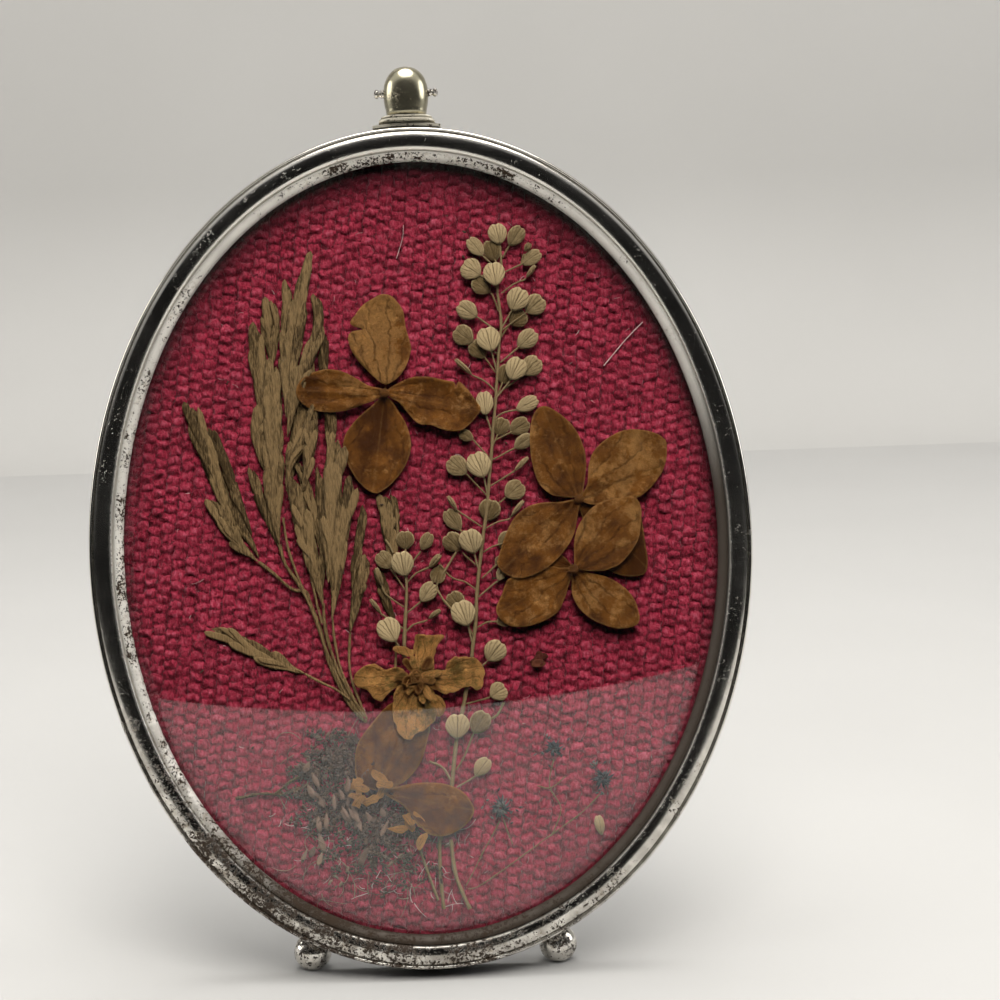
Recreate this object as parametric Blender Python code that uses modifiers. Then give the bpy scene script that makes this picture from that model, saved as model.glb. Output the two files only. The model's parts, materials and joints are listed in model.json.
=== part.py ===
"""An oval easel frame with domed glass, over pressed flowers on woven cloth.

Metres, +Z up. The frame faces -Y, X is to the right, and the origin lies on the
resting surface, at the middle of the whole object's box.

Most pieces are laid out on the frame's own face: X across, Y up the frame and Z
out towards the viewer. One empty leans that face back and lifts it on its feet.
"""
import math

import bmesh
import bpy
from mathutils import Matrix, Vector, geometry

MM = 0.001
OBJECT_NAME = "pressed_flower_frame"

# The oval moulding. Heights are over the crest of its roll, so most are negative.
LEAN = math.radians(11.0)
OUTER_HALF_WIDTH = 49.7 * MM
OUTER_HALF_HEIGHT = 63.1 * MM
MOULDING_WIDTH = 5.2 * MM
MOULDING_DEPTH = 7.0 * MM
ROLL_CREST_OUT = 2.65 * MM
SIGHT_HALF_WIDTH = OUTER_HALF_WIDTH - MOULDING_WIDTH
SIGHT_HALF_HEIGHT = OUTER_HALF_HEIGHT - MOULDING_WIDTH
OVAL_STEPS = 56
TURNING_RADIUS = 60.0 * MM

# What the moulding holds, as (front height, thickness)
INNER_REACH = 3.9 * MM
GLASS_EDGE = (-2.3 * MM, 1.0 * MM)
GLASS_RISE = 8.0 * MM
CLOTH = (-3.55 * MM, 0.55 * MM)
CARD = (-4.35 * MM, 0.85 * MM)
BACK = (-5.45 * MM, 0.6 * MM)
TAB = (-6.3 * MM, 0.4 * MM)
TAB_SIZE = (4.0 * MM, 5.5 * MM)
TAB_ANGLES = (40.0, 140.0, 220.0, 320.0)

# Ball feet, each with a small flat to rest on, set behind the moulding's wall
BALL_RADIUS = 2.85 * MM
BALL_FLAT_DEPTH = 0.25 * MM
FOOT_X = 18.6 * MM
FOOT_DEPTH = -7.2 * MM
FLOOR_CLEARANCE = 0.37 * MM

# Finial, on the top of the moulding's outer wall
FINIAL_DEPTH = -3.9 * MM
STRAP_SIZE = (10.2 * MM, 5.0 * MM, 0.45 * MM)
SADDLE_SIZE = (8.6 * MM, 6.4 * MM, 1.1 * MM)
DOME_RADIUS = 3.4 * MM
DOME_HEIGHT = 7.6 * MM
PIN_RADIUS = 0.65 * MM
PIN_LENGTH = 9.7 * MM
PIN_RISE = 3.3 * MM

# Easel strut on the back
STRUT_ANGLE = math.radians(24.0)
HINGE_Y = 20.0 * MM
BRACKET_SIZE = (20.0 * MM, 13.0 * MM, 0.8 * MM)
HINGE_STANDOFF = 2.4 * MM
BARREL_RADIUS = 1.9 * MM
BARREL_LENGTH = 10.0 * MM
STRUT_PIN_RADIUS = 0.8 * MM
STRUT_PIN_LENGTH = 15.0 * MM
EAR_THICKNESS = 1.1 * MM
LEG_TOP_WIDTH = 10.0 * MM
LEG_FOOT_WIDTH = 8.0 * MM
LEG_WAIST = 13.0 * MM
LEG_THICKNESS = 1.0 * MM
STOP_LIP = 3.5 * MM
RIVET_RADIUS = 1.1 * MM

GAP = 0.3 * MM
ROUND_STEPS = 16

# Pressed plants lie in thin layers over the cloth
PLATE_THICKNESS = 0.2 * MM
LAYER_BASE = -3.3 * MM
LAYER_PITCH = 0.4 * MM

# Heights that the numbers above give
BACK_EDGE_DROP = MOULDING_DEPTH * math.sin(LEAN) + OUTER_HALF_HEIGHT * math.cos(LEAN)
FACE_RISE = BACK_EDGE_DROP + FLOOR_CLEARANCE
BRACKET_FRONT = BACK[0] - BACK[1] - 0.25 * MM
HINGE_DEPTH = BRACKET_FRONT - BRACKET_SIZE[2] - HINGE_STANDOFF


def hinge_drop():
    """Height of the strut's hinge above the floor."""
    return FACE_RISE + HINGE_Y * math.cos(LEAN) + HINGE_DEPTH * math.sin(LEAN)


def leg_reach():
    """Length of the leg from its hinge to the floor, when it stands open."""
    return hinge_drop() / math.cos(STRUT_ANGLE - LEAN)


def face_shift():
    """How far the face moves along Y to bring the object's box over the origin."""
    front = -(SIGHT_HALF_HEIGHT + ROLL_CREST_OUT) * math.sin(LEAN)
    hinge = HINGE_Y * math.sin(LEAN) - HINGE_DEPTH * math.cos(LEAN)
    swing = hinge_drop() * math.tan(STRUT_ANGLE - LEAN)
    heel = 0.5 * LEG_THICKNESS / math.cos(STRUT_ANGLE - LEAN)
    return -0.5 * (front + hinge + swing + heel)


# ---------------------------------------------------------------- scene helpers

def clear_scene():
    """Remove whatever the new file opened with."""
    for item in list(bpy.data.objects):
        bpy.data.objects.remove(item, do_unlink=True)


def new_collection(name):
    """A collection linked to the scene."""
    group = bpy.data.collections.new(name)
    bpy.context.scene.collection.children.link(group)
    return group


def new_empty(name, parent, location, turn_x):
    """An empty that carries pieces, turned about X."""
    empty = bpy.data.objects.new(name, None)
    bpy.context.scene.collection.objects.link(empty)
    empty.parent = parent
    empty.location = location
    empty.rotation_euler = (turn_x, 0.0, 0.0)
    return empty


def new_material(name, colour, roughness, metallic=0.0, transmission=0.0):
    """A Principled material of one plain finish."""
    material = bpy.data.materials.new(name)
    material.use_nodes = True
    shader = material.node_tree.nodes["Principled BSDF"]
    shader.inputs["Base Color"].default_value = (*colour, 1.0)
    shader.inputs["Roughness"].default_value = roughness
    shader.inputs["Metallic"].default_value = metallic
    shader.inputs["Transmission Weight"].default_value = transmission
    return material


def new_object(name, mesh, material, parent):
    """A mesh object in the parts collection, under its parent."""
    part = bpy.data.objects.new(name, mesh)
    PARTS.objects.link(part)
    part.parent = parent
    mesh.materials.clear()
    mesh.materials.append(material)
    return part


def mesh_from(bm, name):
    """Turn a bmesh into a mesh with every normal facing out."""
    bmesh.ops.recalc_face_normals(bm, faces=bm.faces)
    mesh = bpy.data.meshes.new(name)
    bm.to_mesh(mesh)
    bm.free()
    return mesh


def smooth(mesh, angle=35.0):
    """Shade a rounded piece smooth, with its true edges kept sharp."""
    mesh.shade_smooth()
    mesh.set_sharp_from_angle(angle=math.radians(angle))


def baked(part):
    """Replace a piece's mesh by its evaluated one, and drop its modifiers."""
    bpy.context.view_layer.update()
    graph = bpy.context.evaluated_depsgraph_get()
    mesh = bpy.data.meshes.new_from_object(part.evaluated_get(graph))
    part.modifiers.clear()
    part.data = mesh
    return part


def add_cutter(part, name, mesh, parent, operation="DIFFERENCE"):
    """Cut a piece with a mesh that stays in the cutters' collection."""
    cutter = bpy.data.objects.new(name, mesh)
    CUTTERS.objects.link(cutter)
    cutter.parent = parent
    cutter.hide_render = True
    cutter.display_type = "WIRE"
    modifier = part.modifiers.new(name, "BOOLEAN")
    modifier.operation = operation
    modifier.solver = "EXACT"
    modifier.object = cutter
    return cutter


def box_mesh(name, size, centre=(0.0, 0.0, 0.0)):
    """A box of a given size about a centre."""
    bm = bmesh.new()
    bmesh.ops.create_cube(bm, size=1.0)
    bmesh.ops.scale(bm, vec=Vector(size), verts=bm.verts)
    bmesh.ops.translate(bm, vec=Vector(centre), verts=bm.verts)
    return mesh_from(bm, name)


def rod_mesh(name, radius, length, axis="X", steps=ROUND_STEPS, centre=(0.0, 0.0, 0.0)):
    """A round rod along one axis."""
    bm = bmesh.new()
    bmesh.ops.create_cone(
        bm, cap_ends=True, segments=steps, radius1=radius, radius2=radius, depth=length)
    if axis == "X":
        turn = Matrix.Rotation(math.pi / 2, 3, "Y")
        bmesh.ops.rotate(bm, matrix=turn, verts=bm.verts)
    bmesh.ops.translate(bm, vec=Vector(centre), verts=bm.verts)
    return mesh_from(bm, name)


def turned(name, profile, material, parent, steps=ROUND_STEPS, closed=False):
    """Turn a profile of (radius, height) about Z. It runs top to bottom outside."""
    mesh = bpy.data.meshes.new(name)
    edges = [(i, i + 1) for i in range(len(profile) - 1)]
    if closed:
        edges.append((len(profile) - 1, 0))
    mesh.from_pydata([(r, 0.0, h) for r, h in profile], edges, [])
    part = new_object(name, mesh, material, parent)
    screw = part.modifiers.new("turn", "SCREW")
    screw.axis = "Z"
    screw.steps = steps
    screw.render_steps = steps
    screw.use_merge_vertices = True
    screw.merge_threshold = 0.00001
    screw.use_normal_calculate = False
    return part


# ---------------------------------------------------------------- frame pieces

def moulding_profile():
    """The pressed moulding's section, as distance out from the sight edge and height."""
    front = [
        (4.80, -0.50), (5.10, -0.72), (5.20, -1.15), (5.20, -7.00),
        (4.60, -7.00), (4.60, -2.05), (0.15, -2.05),
        (0.00, -1.75), (0.12, -1.15), (0.55, -0.62), (1.10, -0.48), (1.50, -0.66),
        (1.95, -0.18), (2.65, 0.00), (3.40, -0.12), (3.95, -0.50),
        (4.25, -0.95), (4.50, -0.58),
    ]
    return [(out * MM, height * MM) for out, height in front]


def make_rim():
    """The oval moulding: a ring turned round, then drawn out to the oval."""
    sight = TURNING_RADIUS - MOULDING_WIDTH
    profile = [(sight + out, height) for out, height in moulding_profile()]
    rim = turned("rim", profile, SILVERED, FACE, OVAL_STEPS, closed=True)
    baked(rim)
    for vertex in rim.data.vertices:
        radius = math.hypot(vertex.co.x, vertex.co.y)
        out = radius - TURNING_RADIUS
        vertex.co.x *= (OUTER_HALF_WIDTH + out) / radius
        vertex.co.y *= (OUTER_HALF_HEIGHT + out) / radius
    smooth(rim.data, 40.0)
    return rim


def oval_mesh(name, reach, bottom, top, steps=OVAL_STEPS):
    """An oval slab that reaches a distance past the sight edge."""
    bm = bmesh.new()
    bmesh.ops.create_cone(
        bm, cap_ends=True, segments=steps, radius1=1.0, radius2=1.0, depth=top - bottom)
    size = (SIGHT_HALF_WIDTH + reach, SIGHT_HALF_HEIGHT + reach, 1.0)
    bmesh.ops.scale(bm, vec=Vector(size), verts=bm.verts)
    bmesh.ops.translate(bm, vec=(0.0, 0.0, 0.5 * (top + bottom)), verts=bm.verts)
    return mesh_from(bm, name)


def make_slab(name, layer, material):
    """One of the flat oval sheets held inside the moulding."""
    front, thickness = layer
    mesh = oval_mesh(name, INNER_REACH, front - thickness, front)
    return new_object(name, mesh, material, FACE)


def make_glass():
    """Domed glass: an even wall that swells out from a flat seat."""
    front, thickness = GLASS_EDGE
    seat = (SIGHT_HALF_WIDTH + INNER_REACH) / SIGHT_HALF_WIDTH
    rings = 6
    swell = [i / rings for i in range(rings + 1)]
    outside = [(s, front + GLASS_RISE * (1.0 - s * s)) for s in swell]
    inside = [(s, height - thickness) for s, height in reversed(outside)]
    profile = outside + [(seat, front), (seat, front - thickness)] + inside
    glass = turned("glass_dome", profile, GLASS, FACE, 40)
    baked(glass)
    for vertex in glass.data.vertices:
        radius = math.hypot(vertex.co.x, vertex.co.y)
        past = max(radius - 1.0, 0.0) / (seat - 1.0) * INNER_REACH
        inside = min(radius, 1.0)
        away = max(radius, GAP)
        vertex.co.x *= (inside * SIGHT_HALF_WIDTH + past) / away
        vertex.co.y *= (inside * SIGHT_HALF_HEIGHT + past) / away
    smooth(glass.data)
    return glass


def make_tab(index, angle):
    """One bent tab that keeps the back in, near the moulding's inner wall."""
    turn = math.radians(angle)
    inner = MOULDING_WIDTH - 0.6 * MM - GAP
    x = (SIGHT_HALF_WIDTH + inner) * math.cos(turn)
    y = (SIGHT_HALF_HEIGHT + inner) * math.sin(turn)
    normal = Vector((x / (SIGHT_HALF_WIDTH + inner) ** 2, y / (SIGHT_HALF_HEIGHT + inner) ** 2))
    normal.normalize()
    front, thickness = TAB
    mesh = box_mesh(f"back_tab_{index}", (TAB_SIZE[1], TAB_SIZE[0], thickness))
    tab = new_object(f"back_tab_{index}", mesh, AGED_BRASS, FACE)
    centre = Vector((x, y)) - normal * (0.5 * TAB_SIZE[1] + 0.2 * MM)
    tab.location = (centre.x, centre.y, front - 0.5 * thickness)
    tab.rotation_euler = (0.0, 0.0, math.atan2(normal.y, normal.x))
    bevel = tab.modifiers.new("edges", "BEVEL")
    bevel.width = 0.1 * MM
    bevel.segments = 1
    return tab


def floor_block():
    """A block under the resting surface that trims what stands on it."""
    return box_mesh("floor_block", (0.15, 0.15, 0.01), (0.0, 0.0, -0.005))


def make_foot(name, side):
    """A ball foot, notched round the moulding's wall and flat where it rests."""
    bm = bmesh.new()
    bmesh.ops.create_uvsphere(bm, u_segments=14, v_segments=10, radius=BALL_RADIUS)
    foot = new_object(name, mesh_from(bm, name), SILVERED, FACE)
    rest_height = BALL_RADIUS - BALL_FLAT_DEPTH - FACE_RISE
    y = (rest_height - FOOT_DEPTH * math.sin(LEAN)) / math.cos(LEAN)
    foot.location = (side * FOOT_X, y, FOOT_DEPTH)
    room = oval_mesh(name + "_notch", MOULDING_WIDTH + GAP, -MOULDING_DEPTH - GAP, 2.0 * MM)
    add_cutter(foot, name + "_notch", room, FACE)
    add_cutter(foot, name + "_floor", floor_block(), None)
    baked(foot)
    smooth(foot.data)
    return foot


def make_finial_strap():
    """A thin strip that hugs the top of the moulding under the finial."""
    width, depth, thickness = STRAP_SIZE
    bm = bmesh.new()
    half = 0.5 * width / (OUTER_HALF_WIDTH + GAP)
    count = 6
    for row in (0, 1):
        for i in range(count + 1):
            turn = math.pi / 2 + half * (1.0 - 2.0 * i / count)
            x = (OUTER_HALF_WIDTH + GAP) * math.cos(turn)
            y = (OUTER_HALF_HEIGHT + GAP) * math.sin(turn)
            bm.verts.new((x, y, FINIAL_DEPTH + depth * (row - 0.5)))
    bm.verts.ensure_lookup_table()
    for i in range(count):
        low, high = i, i + count + 1
        bm.faces.new([bm.verts[k] for k in (low, high, high + 1, low + 1)])
    mesh = bpy.data.meshes.new("finial_strap")
    bm.to_mesh(mesh)
    bm.free()
    strap = new_object("finial_strap", mesh, SILVERED, FACE)
    wall = strap.modifiers.new("wall", "SOLIDIFY")
    wall.thickness = thickness
    wall.offset = 1.0
    return strap


def finial_floor():
    """Height up the frame of the underside of the finial's saddle."""
    return OUTER_HALF_HEIGHT + GAP + STRAP_SIZE[2] + 0.25 * MM


def make_finial_saddle():
    """The stepped plate under the dome."""
    width, depth, thickness = SADDLE_SIZE
    mesh = box_mesh("finial_saddle", (width, thickness, depth))
    saddle = new_object("finial_saddle", mesh, SILVERED, FACE)
    saddle.location = (0.0, finial_floor() + 0.5 * thickness, FINIAL_DEPTH)
    bevel = saddle.modifiers.new("edges", "BEVEL")
    bevel.width = 0.25 * MM
    bevel.segments = 2
    return saddle


def make_finial_dome():
    """The tall domed knob, bored across for its pin."""
    r, h = DOME_RADIUS, DOME_HEIGHT
    crown = [(r * math.sin(a), h - r + r * math.cos(a))
             for a in (math.radians(15 * k) for k in range(7))]
    crown[0] = (0.0, h)
    profile = crown + [(0.97 * r, 0.3 * h), (0.9 * r, 0.0), (0.0, 0.0)]
    dome = turned("finial_dome", profile, SILVERED, FACE)
    dome.location = (0.0, finial_floor() + SADDLE_SIZE[2] + 0.25 * MM, FINIAL_DEPTH)
    dome.rotation_euler = (-math.pi / 2, 0.0, 0.0)
    bore = rod_mesh("finial_bore", PIN_RADIUS + 0.2 * MM, 0.02, "X", 12, (0.0, 0.0, PIN_RISE))
    add_cutter(dome, "finial_bore", bore, dome)
    baked(dome)
    smooth(dome.data)
    return dome


def make_finial_pin():
    """The cross pin whose ends stand out at the sides of the dome."""
    mesh = rod_mesh("finial_pin", PIN_RADIUS, PIN_LENGTH, "X", 12)
    pin = new_object("finial_pin", mesh, SILVERED, FACE)
    rise = finial_floor() + SADDLE_SIZE[2] + 0.25 * MM + PIN_RISE
    pin.location = (0.0, rise, FINIAL_DEPTH)
    bevel = pin.modifiers.new("ends", "BEVEL")
    bevel.width = 0.2 * MM
    bevel.segments = 1
    bevel.limit_method = "ANGLE"
    smooth(pin.data)
    return pin


# ---------------------------------------------------------------- easel strut

def bracket_back():
    """Height of the bracket's back face."""
    return BRACKET_FRONT - BRACKET_SIZE[2]


def make_strut_bracket():
    """The plate riveted to the back, with two ears for the hinge pin."""
    width, height, thickness = BRACKET_SIZE
    mesh = box_mesh("strut_bracket", BRACKET_SIZE)
    bracket = new_object("strut_bracket", mesh, AGED_BRASS, FACE)
    bracket.location = (0.0, HINGE_Y, BRACKET_FRONT - 0.5 * thickness)
    ear_centre = 0.5 * BARREL_LENGTH + GAP + 0.5 * EAR_THICKNESS
    ear_height = HINGE_STANDOFF + 1.9 * MM + 0.5 * thickness
    for side, word in ((-1, "left"), (1, "right")):
        centre = (side * ear_centre, 0.0, -0.5 * ear_height)
        ear = box_mesh("ear_" + word, (EAR_THICKNESS, 4.2 * MM, ear_height), centre)
        add_cutter(bracket, "ear_" + word, ear, bracket, "UNION")
        hole = rod_mesh(
            "rivet_hole_" + word, RIVET_RADIUS * 0.6 + 0.2 * MM, 0.004, "Z", 10,
            (side * 0.42 * width, 0.0, 0.0))
        add_cutter(bracket, "rivet_hole_" + word, hole, bracket)
    axis_drop = -0.5 * thickness - HINGE_STANDOFF
    bore = rod_mesh(
        "ear_bore", STRUT_PIN_RADIUS + 0.2 * MM, 0.03, "X", 12, (0.0, 0.0, axis_drop))
    add_cutter(bracket, "ear_bore", bore, bracket)
    baked(bracket)
    return bracket


def make_bracket_rivet(word, side):
    """A dome-headed rivet in the bracket's plate."""
    r = RIVET_RADIUS
    profile = [
        (0.0, 0.6 * r), (0.5 * r, 0.5 * r), (0.87 * r, 0.25 * r), (r, 0.0),
        (0.6 * r, 0.0), (0.6 * r, -0.75 * MM), (0.0, -0.75 * MM),
    ]
    rivet = turned("bracket_rivet_" + word, profile, AGED_BRASS, FACE, 10)
    rivet.location = (side * 0.42 * BRACKET_SIZE[0], HINGE_Y, bracket_back() - 0.2 * MM)
    rivet.rotation_euler = (math.pi, 0.0, 0.0)
    baked(rivet)
    smooth(rivet.data)
    return rivet


def make_strut_pin():
    """The hinge pin through the ears and the leg's barrel."""
    mesh = rod_mesh("strut_pin", STRUT_PIN_RADIUS, STRUT_PIN_LENGTH, "X", 12)
    pin = new_object("strut_pin", mesh, AGED_BRASS, FACE)
    pin.location = (0.0, HINGE_Y, HINGE_DEPTH)
    bevel = pin.modifiers.new("ends", "BEVEL")
    bevel.width = 0.2 * MM
    bevel.segments = 1
    bevel.limit_method = "ANGLE"
    smooth(pin.data)
    return pin


def leg_outline():
    """The leg's blade: straight at the hinge, fuller below it, narrow at the foot."""
    reach = leg_reach() + 2.0 * MM
    half = [
        (0.5 * LEG_TOP_WIDTH, STOP_LIP), (0.5 * LEG_TOP_WIDTH, -5.0 * MM),
        (0.5 * LEG_WAIST, -16.0 * MM), (0.5 * LEG_WAIST, -26.0 * MM),
        (0.5 * LEG_FOOT_WIDTH, -reach),
    ]
    return half + [(-x, y) for x, y in reversed(half)]


def outline_curve(name, points, thickness):
    """A flat outline as a filled 2D curve with a thickness."""
    curve = bpy.data.curves.new(name, "CURVE")
    curve.dimensions = "2D"
    curve.fill_mode = "BOTH"
    curve.extrude = 0.5 * thickness
    spline = curve.splines.new("POLY")
    spline.points.add(len(points) - 1)
    for point, (x, y) in zip(spline.points, points):
        point.co = (x, y, 0.0, 1.0)
    spline.use_cyclic_u = True
    return curve


def welded_mesh(curve_object, name):
    """A closed mesh from a filled curve, whose caps are welded on."""
    bpy.context.view_layer.update()
    graph = bpy.context.evaluated_depsgraph_get()
    mesh = bpy.data.meshes.new_from_object(curve_object.evaluated_get(graph))
    bm = bmesh.new()
    bm.from_mesh(mesh)
    bmesh.ops.remove_doubles(bm, verts=bm.verts, dist=0.00001)
    return mesh_from(bm, name)


def make_strut_leg():
    """The easel leg: a blade with a rolled barrel, cut level where it stands."""
    curve = outline_curve("leg_blade", leg_outline(), LEG_THICKNESS)
    blade = bpy.data.objects.new("leg_blade", curve)
    bpy.context.scene.collection.objects.link(blade)
    mesh = welded_mesh(blade, "strut_leg")
    bpy.data.objects.remove(blade, do_unlink=True)
    leg = new_object("strut_leg", mesh, AGED_BRASS, STRUT)
    barrel = rod_mesh("barrel", BARREL_RADIUS, BARREL_LENGTH - 0.1 * MM, "X", 16)
    add_cutter(leg, "barrel", barrel, STRUT, "UNION")
    bore = rod_mesh("barrel_bore", STRUT_PIN_RADIUS + GAP, 0.03, "X", 12)
    add_cutter(leg, "barrel_bore", bore, STRUT)
    add_cutter(leg, "leg_floor", floor_block(), None)
    baked(leg)
    return leg


# ---------------------------------------------------------------- pressed plants

def flat_piece(name, outlines, layer, material):
    """One thin solid over the union of closed outlines, given in millimetres."""
    points, faces = [], []
    for outline in outlines:
        area = sum(a[0] * b[1] - b[0] * a[1] for a, b in zip(outline, outline[1:] + outline[:1]))
        ring = outline if area > 0.0 else outline[::-1]
        faces.append(list(range(len(points), len(points) + len(ring))))
        points.extend(Vector(p) for p in ring)
    inside_triangles = 1
    result = geometry.delaunay_2d_cdt(points, [], faces, inside_triangles, 0.001)
    bm = bmesh.new()
    corners = [bm.verts.new((p.x * MM, p.y * MM, 0.0)) for p in result[0]]
    for face in result[2]:
        bm.faces.new([corners[i] for i in face])
    loose = [v for v in bm.verts if not v.link_faces]
    bmesh.ops.delete(bm, geom=loose, context="VERTS")
    bmesh.ops.dissolve_limit(bm, angle_limit=0.002, verts=bm.verts, edges=bm.edges)
    bmesh.ops.triangulate(bm, faces=bm.faces)
    for face in bm.faces:
        face.normal_update()
        if face.normal.z < 0.0:
            face.normal_flip()
    mesh = bpy.data.meshes.new(name)
    bm.to_mesh(mesh)
    bm.free()
    piece = new_object(name, mesh, material, FACE)
    piece.location = (0.0, 0.0, LAYER_BASE + layer * LAYER_PITCH)
    sheet = piece.modifiers.new("sheet", "SOLIDIFY")
    sheet.thickness = PLATE_THICKNESS
    sheet.offset = 1.0
    return piece


def strip(points, widths):
    """The outline of a stalk or blade that follows a line of points."""
    left, right = [], []
    for i, (x, y) in enumerate(points):
        before = Vector(points[max(i - 1, 0)])
        after = Vector(points[min(i + 1, len(points) - 1)])
        along = (after - before).normalized()
        half = 0.5 * widths[i]
        left.append((x - along.y * half, y + along.x * half))
        right.append((x + along.y * half, y - along.x * half))
    return left + right[::-1]


def stalk(points, width):
    """An even stalk."""
    return strip(points, [width] * len(points))


def blade(points, width):
    """A spikelet that is sharp at its first point and narrow at its last."""
    last = len(points) - 1
    widths = [width * max(0.12, math.sin(math.pi * (0.1 + 0.78 * i / last)) ** 0.7)
              for i in range(len(points))]
    widths[0] = 0.12 * width
    return strip(points, widths)


def pod(x, y, width, height):
    """A small flat pod, as a six-sided oval."""
    return [(x + 0.5 * width * math.cos(math.radians(60 * k + 30)),
             y + 0.5 * height * math.sin(math.radians(60 * k + 30))) for k in range(6)]


def raceme(stem, stem_width, pods):
    """A stem with pods, each on its own short stalk from the stem."""
    outlines = [stalk(stem, stem_width)]
    for x, y, width, height, foot_x, foot_y in pods:
        outlines.append(pod(x, y, width, height))
        outlines.append(stalk([(x, y), (foot_x, foot_y)], 0.4))
    return outlines


HYDRANGEA_LEFT = [
    pod(-4.4, 23.2, 2.0, 2.4),
    [(-4.4, 24.0), (-7.3, 26.4), (-9.2, 29.0), (-9.7, 31.4), (-7.4, 32.9), (-9.4, 33.8),
     (-7.6, 36.3), (-4.8, 37.9), (-2.6, 37.2), (-1.3, 34.8), (-0.5, 30.0), (-2.0, 26.1)],
    [(-4.6, 23.9), (-9.0, 25.6), (-13.2, 26.9), (-16.6, 25.8), (-17.8, 24.0), (-16.4, 21.8),
     (-12.8, 20.6), (-8.4, 21.3), (-4.6, 22.6)],
    [(-4.2, 23.8), (-1.2, 25.0), (2.0, 25.4), (6.2, 24.5), (8.6, 22.3), (9.7, 20.0),
     (6.4, 17.1), (2.8, 17.8), (-0.4, 18.9), (-4.2, 22.6)],
    [(-4.0, 23.0), (-7.6, 20.6), (-10.6, 17.3), (-10.9, 14.0), (-9.4, 10.6), (-6.7, 8.2),
     (-3.6, 9.9), (-1.4, 13.2), (-1.1, 16.8), (-2.8, 20.6)],
]
HYDRANGEA_UPPER_RIGHT = [
    pod(24.0, 6.3, 1.8, 1.8),
    [(24.2, 6.2), (20.4, 6.9), (17.8, 9.6), (16.9, 13.6), (17.3, 18.3), (18.9, 20.2),
     (22.4, 18.4), (24.7, 14.6), (24.9, 9.3)],
    [(24.0, 6.2), (25.6, 11.2), (28.3, 15.2), (32.4, 16.4), (37.0, 14.9), (36.9, 10.4),
     (34.8, 7.6), (30.6, 6.1), (26.4, 5.4)],
    [(24.2, 6.4), (18.6, 5.9), (14.4, 4.0), (12.0, -0.6), (11.8, -4.0), (14.6, -5.3),
     (19.2, -3.6), (22.6, 0.4), (23.9, 4.6)],
    [(23.6, 6.2), (29.0, 6.3), (33.0, 5.2), (33.8, -3.4), (32.6, -5.6), (28.0, -4.6)],
]
HYDRANGEA_LOWER_RIGHT = [
    pod(22.7, -4.4, 1.8, 1.8),
    [(22.2, -4.4), (23.0, 0.4), (25.4, 4.4), (29.6, 6.2), (32.4, 5.8), (32.8, 1.6),
     (30.6, -3.0), (26.6, -4.6)],
    [(22.8, -3.8), (22.5, -8.0), (25.2, -11.8), (29.6, -13.3), (32.2, -12.2), (31.2, -8.4),
     (27.6, -5.4)],
    [(22.9, -4.4), (19.0, -3.7), (13.0, -5.4), (11.0, -9.4), (12.4, -12.1), (16.6, -12.3),
     (20.4, -10.2), (22.3, -5.6)],
]
HYDRANGEA_LOW = [
    pod(-7.4, -36.4, 2.0, 2.0),
    [(-7.4, -36.6), (-10.7, -34.0), (-10.4, -29.0), (-6.4, -24.2), (-2.4, -22.7),
     (0.4, -25.6), (-0.6, -31.2), (-3.4, -35.0)],
    [(-8.0, -36.2), (-2.0, -35.2), (3.4, -35.8), (6.4, -38.7), (5.8, -41.4), (1.6, -43.2),
     (-2.4, -41.4), (-6.0, -38.0)],
]
CRUMPLED_FLOWER = [
    [(-4.4, -17.0), (-2.4, -16.2), (0.6, -16.8), (2.2, -19.0), (1.4, -22.2), (-2.4, -23.0),
     (-4.8, -21.4)],
    [(-4.0, -18.0), (-7.6, -17.5), (-10.6, -18.8), (-10.8, -20.2), (-7.2, -22.9), (-4.0, -21.4)],
    [(-1.4, -17.4), (-1.3, -13.3), (3.0, -13.4), (1.2, -17.6)],
    [(1.2, -18.8), (5.2, -16.6), (8.6, -18.0), (8.4, -21.4), (3.0, -22.2), (0.8, -21.2)],
    [(-4.6, -21.6), (-5.0, -25.4), (-2.6, -28.9), (1.2, -26.2), (1.4, -21.8)],
]
TALL_STEM = [(13.5, 46.0), (12.9, 40.0), (13.1, 33.0), (12.4, 25.0), (11.1, 13.0), (10.0, 4.0),
             (8.2, -8.0), (7.0, -17.0), (5.6, -24.0), (4.0, -32.0), (1.6, -43.0)]
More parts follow.
